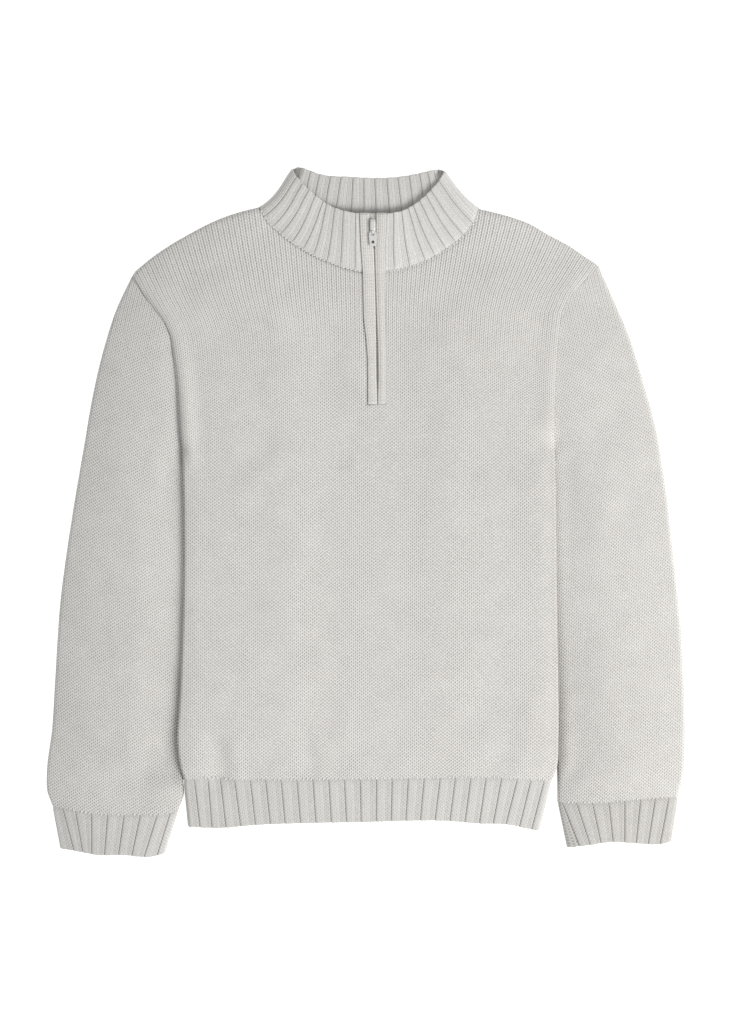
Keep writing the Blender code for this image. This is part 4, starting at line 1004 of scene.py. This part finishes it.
def loops(name, path, inside, surface, slot, furrows=None, sleeve=False, lift=0.1,
          size=(0.5, 0.8, 0.4)):
    """A row of small stitch heads along a seam, one for each wale, or where there are ribs, only
    for the wales that lie back."""
    run = run_along(path)
    at = np.arange(WALE / 2, run[-1], WALE)
    if furrows:
        x = np.interp(at, run, path[:, 0])
        at = at[np.mod(np.interp(x, [row[0] for row in furrows], range(len(furrows))), 1) > 0.4]
    plan = at_run(path, run, at)[None]
    tops = layer(plan, inside, 1, WALL, lift, sleeve=sleeve)[0][0]
    along = np.gradient(plan[0], axis=0)
    turn = np.arctan2(along[:, 1], along[:, 0])
    rings, sides = 5, 8
    polar = np.linspace(0, math.pi, rings + 1)[1:-1]
    belts = [(math.sin(a) * math.cos(b), math.sin(a) * math.sin(b), math.cos(a)) for a in polar
             for b in np.linspace(0, 2 * math.pi, sides, endpoint=False)]
    ball = np.array([(0, 0, 1), *belts, (0, 0, -1)]) * size
    last = len(ball) - 1
    cap = [(0, 1 + i, 1 + (i + 1) % sides) for i in range(sides)]
    foot = [(last, last - sides + (i + 1) % sides, last - sides + i) for i in range(sides)]
    belt = [(1 + r * sides + i, 1 + (r + 1) * sides + i, 1 + (r + 1) * sides + (i + 1) % sides,
             1 + r * sides + (i + 1) % sides) for r in range(rings - 2) for i in range(sides)]
    points, faces = [], []
    for place, spin in zip(tops, turn):
        base = len(points)
        c, s = math.cos(spin), math.sin(spin)
        points += [(place[0] + c * px - s * py, place[1] + s * px + c * py, place[2] + pz)
                   for px, py, pz in ball]
        faces += [tuple(base + corner for corner in face) for face in cap + belt + foot]
    mesh = bpy.data.meshes.new(name)
    mesh.from_pydata((np.array(points) * MM).tolist(), [], faces)
    mesh.shade_smooth()
    declare(new_piece(name, mesh, surface), slot)


def zip_frame():
    """The place of the pull tab's axis, turned to lie along the collar's slope."""
    low, high = (float(front_top(PIVOT_X, y)) for y in (PIVOT_Y - 3, PIVOT_Y + 3))
    middle = float(front_top(PIVOT_X, PIVOT_Y)) + BAND_PROUD + PIVOT_HEIGHT
    slope = math.atan2(high - low, 6)
    pivot = Matrix.Translation(Vector((PIVOT_X, PIVOT_Y, middle)) * MM)
    return pivot @ Matrix.Rotation(slope, 4, "X")


def plate(name, outlines, depth, bevel, surface, place):
    """A flat plate with rounded edges, the first outline its rim and the others its holes."""
    shape = bpy.data.curves.new(name, "CURVE")
    shape.dimensions, shape.fill_mode = "2D", "BOTH"
    shape.extrude, shape.bevel_depth = (depth / 2 - bevel) * MM, bevel * MM
    shape.bevel_resolution, shape.offset = 3, -bevel * MM
    for outline in outlines:
        spline = shape.splines.new("POLY")
        spline.points.add(len(outline) - 1)
        for point, (x, y) in zip(spline.points, outline):
            point.co = (x * MM, y * MM, 0, 1)
        spline.use_cyclic_u = True
    flat = bpy.data.objects.new(name, shape)
    bpy.context.scene.collection.objects.link(flat)
    ready = flat.evaluated_get(bpy.context.evaluated_depsgraph_get())
    mesh = bpy.data.meshes.new_from_object(ready)
    bpy.data.objects.remove(flat)
    mesh.materials.clear()
    mesh.transform(place)
    mesh.shade_smooth()
    mesh.set_sharp_from_angle(angle=math.radians(40))
    return new_piece(name, mesh, surface)


def softened(points, radius, steps=5):
    """A closed outline with its corners rounded."""
    out = []
    for before, corner, after in zip(points[-1:] + points[:-1], points, points[1:] + points[:1]):
        c = np.array(corner, float)
        a, b = np.array(before, float) - c, np.array(after, float) - c
        cut = min(radius, np.linalg.norm(a) * 0.45, np.linalg.norm(b) * 0.45)
        a, b = c + a / np.linalg.norm(a) * cut, c + b / np.linalg.norm(b) * cut
        for t in np.linspace(0, 1, steps):
            out.append(tuple((1 - t) ** 2 * a + 2 * t * (1 - t) * c + t * t * b))
    return out


def arc(radius, start, end, steps):
    """Points along part of a circle about the tab's axis, angles in degrees."""
    return [(radius * math.cos(math.radians(angle)), radius * math.sin(math.radians(angle)))
            for angle in np.linspace(start, end, steps)]


def slider_and_tab(metal):
    """The slider's body and crown, the hook over the tab's bar, and the tab itself."""
    place = zip_frame()
    upright = place @ Matrix(((0, 0, 1, 0), (1, 0, 0, 0), (0, 1, 0, 0), (0, 0, 0, 1)))
    body = softened([(-1.7, -2.6), (-2.2, 2.5), (-2.2, 8.0), (-1.3, 9.6), (1.3, 9.6), (2.2, 8.0),
                     (2.2, 2.5), (1.7, -2.6)], 0.9)
    low = place @ Matrix.Translation((0, 0, -2.5 * MM))
    declare(plate("zip_slider_body", [body], 3.3, 0.4, metal, low), "hardware", "zip_slider")
    crown = softened([(0.95, -1.2), (0.95, 0.8), (1.55, 1.3), (7.75, 1.3), (9.55, 0.0),
                      (9.55, -1.2)], 0.9)
    declare(plate("zip_slider_crown", [crown], 4.2, 1.0, metal, upright), "hardware")
    hook = ([(1.65, -1.3)] + arc(1.65, 0, 180, 17) + [(-1.65, -1.3), (-0.85, -1.3)]
            + arc(0.85, 180, 0, 13) + [(0.85, -1.3)])
    declare(plate("zip_slider_hook", [hook], 1.8, 0.3, metal, upright), "hardware")
    edge = [(-1.9, 0.4), (-2.4, -0.1), (-3.0, -2.4), (-2.4, 0.7 - TAB_LENGTH), (-1.7, -TAB_LENGTH)]
    edge = softened(edge + [(-x, y) for x, y in reversed(edge)], 0.7)
    eye = softened([(-1.25, -0.4), (-1.25, -3.0), (1.25, -3.0), (1.25, -0.4)], 0.4)
    hole = softened([(-1.1, -6.9), (-1.1, -9.1), (1.1, -9.1), (1.1, -6.9)], 0.3)
    tab = plate("zip_pull_tab_metal", [edge, eye, hole], TAB_THICKNESS, 0.16, metal, place)
    declare(tab, "hardware", "zip_pull_tab", body="pull_tab")


def linear(code):
    """A colour from its sRGB hex value."""
    parts = [int(code[i:i + 2], 16) / 255 for i in (1, 3, 5)]
    return (*[c / 12.92 if c <= 0.04045 else ((c + 0.055) / 1.055) ** 2.4 for c in parts], 1.0)


def add(tree, kind, *inputs, **settings):
    """A node of a kind, with its settings, and its inputs in order: a link, a value or None."""
    node = tree.nodes.new(kind)
    for name, value in settings.items():
        setattr(node, name, value)
    for socket, value in zip(node.inputs, inputs):
        if isinstance(value, bpy.types.NodeSocket):
            tree.links.new(value, socket)
        elif value is not None:
            socket.default_value = value
    return node.outputs[0]


def material(name, roughness, **values):
    """A new material, its node tree and its shader, with the values that are the same all over."""
    made = bpy.data.materials.new(name)
    made.use_nodes = True
    shader = made.node_tree.nodes["Principled BSDF"]
    shader.inputs["Roughness"].default_value = roughness
    for socket, value in values.items():
        shader.inputs[socket.replace("_", " ")].default_value = value
    return made, made.node_tree, shader


def blend(tree, share, low, high):
    """A colour between two, each of them a hex value or a link."""
    node = add(tree, "ShaderNodeMix", share, data_type="RGBA").node
    for socket, colour in ((node.inputs[6], low), (node.inputs[7], high)):
        if isinstance(colour, str):
            socket.default_value = linear(colour)
        else:
            tree.links.new(colour, socket)
    return node.outputs[2]


def mottle(tree, shader, size, detail, low, high):
    """Colour a shader softly between two colours, in patches of a size in mm."""
    noise = add(tree, "ShaderNodeTexNoise", add(tree, "ShaderNodeTexCoord").node.outputs["Object"],
                None, 1 / (size * MM), detail)
    tree.links.new(blend(tree, noise, low, high), shader.inputs["Base Color"])
    return noise


def emboss(tree, shader, height, strength, depth):
    """Let a height, up to a depth in mm, turn the light on a shader."""
    bump = add(tree, "ShaderNodeBump", strength, depth * MM)
    tree.links.new(height, bump.node.inputs["Height"])
    tree.links.new(bump, shader.inputs["Normal"])


def knit(name, yarn, pale, shaded, pinhole=0.75, relief=0.35):
    """Woollen knit: each wale is a chain of V stitches with pinholes between them, drawn out to
    columns towards the shoulders. The yarn mixes pale and grey fibres, so it is flecked."""
    made, tree, shader = material(name, 0.92, Sheen_Weight=0.18, Sheen_Roughness=0.5)
    parts = add(tree, "ShaderNodeSeparateXYZ", add(tree, "ShaderNodeUVMap", uv_map="stitches")).node
    place = add(tree, "ShaderNodeTexCoord").node.outputs["Object"]

    def calc(operation, *inputs, **settings):
        return add(tree, "ShaderNodeMath", *inputs, operation=operation, **settings)

    def noise(size, *values):
        return add(tree, "ShaderNodeTexNoise", place, None, 1 / (size * MM), *values)

    def between(value, *ends):
        return add(tree, "ShaderNodeMapRange", value, *ends)

    # where each stitch lies, a little uneven
    shift = calc("MULTIPLY", calc("SUBTRACT", noise(2.6, 1.0), 0.5), 0.5)
    u, v = (calc("MULTIPLY", parts.outputs[way], 1 / (size * MM))
            for way, size in enumerate((WALE, COURSE)))
    u, v = calc("ADD", u, calc("MULTIPLY", shift, 0.35)), calc("ADD", v, shift)
    slant = calc("SUBTRACT", v, calc("PINGPONG", u, 0.5))
    across, along, chevron, halves = (calc("COSINE", calc("MULTIPLY", way, turns * math.pi))
                                      for way, turns in ((u, 2), (v, 2), (slant, 2), (u, 4)))
    drawn, painted_shade = (add(tree, "ShaderNodeAttribute", attribute_name=kind).node.outputs["Fac"]
                     for kind in ("drawn", "painted_shade"))

    # its height: pinholes, the line between the wales, and columns where it is drawn out
    deep = calc("MULTIPLY_ADD", drawn, -0.4, 0.6)
    lattice = calc("MULTIPLY", calc("MULTIPLY", across, along), deep)
    ladder = calc("MULTIPLY", halves, calc("MULTIPLY_ADD", drawn, -0.3, -0.32))
    column = calc("MULTIPLY", calc("MULTIPLY", across, drawn), 0.17)
    rounding = calc("ADD", calc("ADD", lattice, ladder), column)
    height = calc("ADD", rounding, calc("MULTIPLY", chevron, 0.1))
    gap = calc("POWER", calc("MULTIPLY_ADD", height, -0.5, 0.5, use_clamp=True), 1.5)

    # its colour: flecked fibres, painted shade in the pinholes between stitches and where the
    # painted_shade attribute asks for it, and faint clouds over all
    fleck = noise(1.1, 3.0, 0.65)
    flecked = blend(tree, between(fleck, 0.32, 0.68, 0.0, 1.0), yarn, pale)
    felted = between(noise(14, 3.0), 0.32, 0.68, 0.9, 1.1)
    # painted shade: where painted_shade is high, the pinholes open wider and the colour goes darker
    open_by = calc("MULTIPLY", calc("MULTIPLY_ADD", painted_shade, 0.4, pinhole), felted)
    lost = calc("MULTIPLY", painted_shade, 0.45)
    dim = calc("ADD", calc("MULTIPLY", gap, open_by), lost, use_clamp=True)
    tone = blend(tree, dim, flecked, shaded)
    clouded = add(tree, "ShaderNodeVectorMath", tone, operation="SCALE")
    cloud = between(noise(22, 3.0, 0.6), 0.3, 0.7, 0.98, 1.02)
    tree.links.new(cloud, clouded.node.inputs["Scale"])
    tree.links.new(clouded, shader.inputs["Base Color"])
    emboss(tree, shader, calc("ADD", rounding, calc("MULTIPLY", fleck, 0.3)), relief, 0.5)
    return made


def woven_tape():
    """Polyester tape, woven fine and plain: a close grid of dull threads."""
    made, tree, shader = material("woven polyester tape", 0.8)
    uv = add(tree, "ShaderNodeUVMap", uv_map="stitches")
    threads = [add(tree, "ShaderNodeTexWave", uv, 1 / (0.9 * MM) / 6.28, bands_direction=way)
               .node.outputs["Fac"] for way in "XY"]
    weave = add(tree, "ShaderNodeMath", *threads, operation="MULTIPLY")
    tree.links.new(blend(tree, weave, "#B0ADA8", "#C3C1BD"), shader.inputs["Base Color"])
    emboss(tree, shader, weave, 0.4, 0.2)
    return made


def nylon_coil():
    """Nylon monofilament, drawn round and dyed grey: smooth, with a soft gloss."""
    made, tree, shader = material("dyed nylon monofilament", 0.35, IOR=1.53)
    mottle(tree, shader, 1.5, 2.0, "#A3A09B", "#B8B5B0")
    return made


def lacquered_zinc():
    """Die-cast zinc, plated and lacquered pale: a soft shine, a little uneven from the casting."""
    made, tree, shader = material("lacquered die-cast zinc", 0.3, Metallic=0.55)
    noise = mottle(tree, shader, 1.2, 3.0, "#CFCECC", "#E6E5E3")
    rough = add(tree, "ShaderNodeMapRange", noise, 0.3, 0.7, 0.24, 0.4)
    tree.links.new(rough, shader.inputs["Roughness"])
    emboss(tree, shader, noise, 0.12, 0.1)
    return made


def studio():
    """A white table that glows a little, soft light all round, a key light low on the right, and a
    camera straight above."""
    made, tree, shader = material("matt white acrylic sheet", 0.6, Emission_Strength=0.6)
    shader.inputs["Emission Color"].default_value = linear("#FFFFFF")
    mottle(tree, shader, 500, 1.0, "#F2F2F1", "#F5F5F4")
    mesh = bpy.data.meshes.new("floor")
    corners = [(x, y, FLOOR_GAP * MM) for x, y in ((-3, -3), (3, -3), (3, 3), (-3, 3))]
    mesh.from_pydata(corners, [], [(0, 1, 2, 3)])
    new_piece("floor", mesh, made)

    world = bpy.data.worlds.new("studio")
    world.use_nodes = True
    sky = world.node_tree.nodes["Background"].inputs
    sky["Color"].default_value, sky["Strength"].default_value = linear("#FDFEFF"), SKY
    bpy.context.scene.world = world
    lamp = bpy.data.lights.new("key", "AREA")
    lamp.energy, lamp.size, lamp.color = KEY, KEY_SIZE, linear("#FFFDFB")[:3]
    key = bpy.data.objects.new("key", lamp)
    bearing, height = math.radians(KEY_BEARING), math.radians(KEY_HEIGHT)
    towards = Vector((math.cos(height) * math.cos(bearing), math.cos(height) * math.sin(bearing),
                      math.sin(height)))
    key.location = towards * KEY_AWAY
    key.rotation_mode = "QUATERNION"
    key.rotation_quaternion = towards.to_track_quat("Z", "Y")
    bpy.context.scene.collection.objects.link(key)

    lens = bpy.data.cameras.new("camera")
    lens.type, lens.lens, lens.sensor_width, lens.clip_end = "PERSP", LENS, 36, 20
    camera = bpy.data.objects.new("camera", lens)
    camera.location = CAMERA_AT
    bpy.context.scene.collection.objects.link(camera)
    bpy.context.scene.camera = camera
    bpy.context.scene.view_settings.view_transform = "Standard"


def main():
    """Dress the solids."""
    # the third colour of each knit is the colour that its painted shade darkens towards
    plain = knit("wool blend, plain knit", "#C9C7C3", "#DEDCD9", "#75726D")
    rib = knit("wool blend, two by two rib", "#C1BFBB", "#D8D7D4", "#706C67", 0.3, 0.2)
    facing = knit("wool blend, fine facing", "#C2BFBA", "#D8D6D2", "#75716B", 0.2, 0.3)
    # the loops are a lighter copy of the same yarn: a painted highlight where they stand up
    loop = knit("wool blend, bright loop", "#D3D1CD", "#E2E0DD", "#8F8B85", 0.1, 0.2)
    coil, tape, metal = nylon_coil(), woven_tape(), lacquered_zinc()

    back_body(plain)
    front_body(plain)
    sleeve("left", SLEEVE_LEFT_OUTER, SLEEVE_LEFT_INNER, BODY_LEFT, CUFF_LEFT_TOP,
           SLEEVE_LEFT_AXIS, plain)
    sleeve("right", SLEEVE_RIGHT_OUTER, SLEEVE_RIGHT_INNER, BODY_RIGHT, CUFF_RIGHT_TOP,
           SLEEVE_RIGHT_AXIS, plain)
    hem_rib("hem_rib_front_knit", "hem_rib_front", 1, rib)
    hem_rib("hem_rib_back_knit", "hem_rib_back", -1, rib)
    cuff("left", CUFF_LEFT_TOP, CUFF_LEFT_BOTTOM, CUFF_LEFT_FURROWS, rib)
    cuff("right", CUFF_RIGHT_TOP, CUFF_RIGHT_BOTTOM, CUFF_RIGHT_FURROWS, rib)
    collar(rib)
    for side in ("left", "right"):
        zip_band(side, facing)
    zip_tape(tape)
    zip_coil(-1, coil)
    zip_coil(1, coil)
    slider_and_tab(metal)

    x = np.linspace(HEM_X[0] + 3, HEM_X[-1] - 3, 200)
    loops("hem_first_row", np.stack([x, np.interp(x, HEM_X, HEM_Y)], axis=-1), BODY_INSIDE, loop,
          "rib", HEM_FURROWS)
    for side, rows, furrows in (("left", CUFF_LEFT_TOP, CUFF_LEFT_FURROWS),
                                ("right", CUFF_RIGHT_TOP, CUFF_RIGHT_FURROWS)):
        loops("cuff_first_row_" + side, curve(rows)(np.linspace(0.03, 0.97, 120)),
              SLEEVE_INSIDE[side], loop, "rib", furrows, sleeve=True)
    for side, rows in (("left", NECK_LEFT), ("right", NECK_RIGHT)):
        loops("neck_linking_" + side, curve(rows)(np.linspace(0.02, 0.985, 120)), BODY_INSIDE,
              loop, "rib", lift=-0.3, size=(0.8, 0.45, 0.4))
    studio()


main()
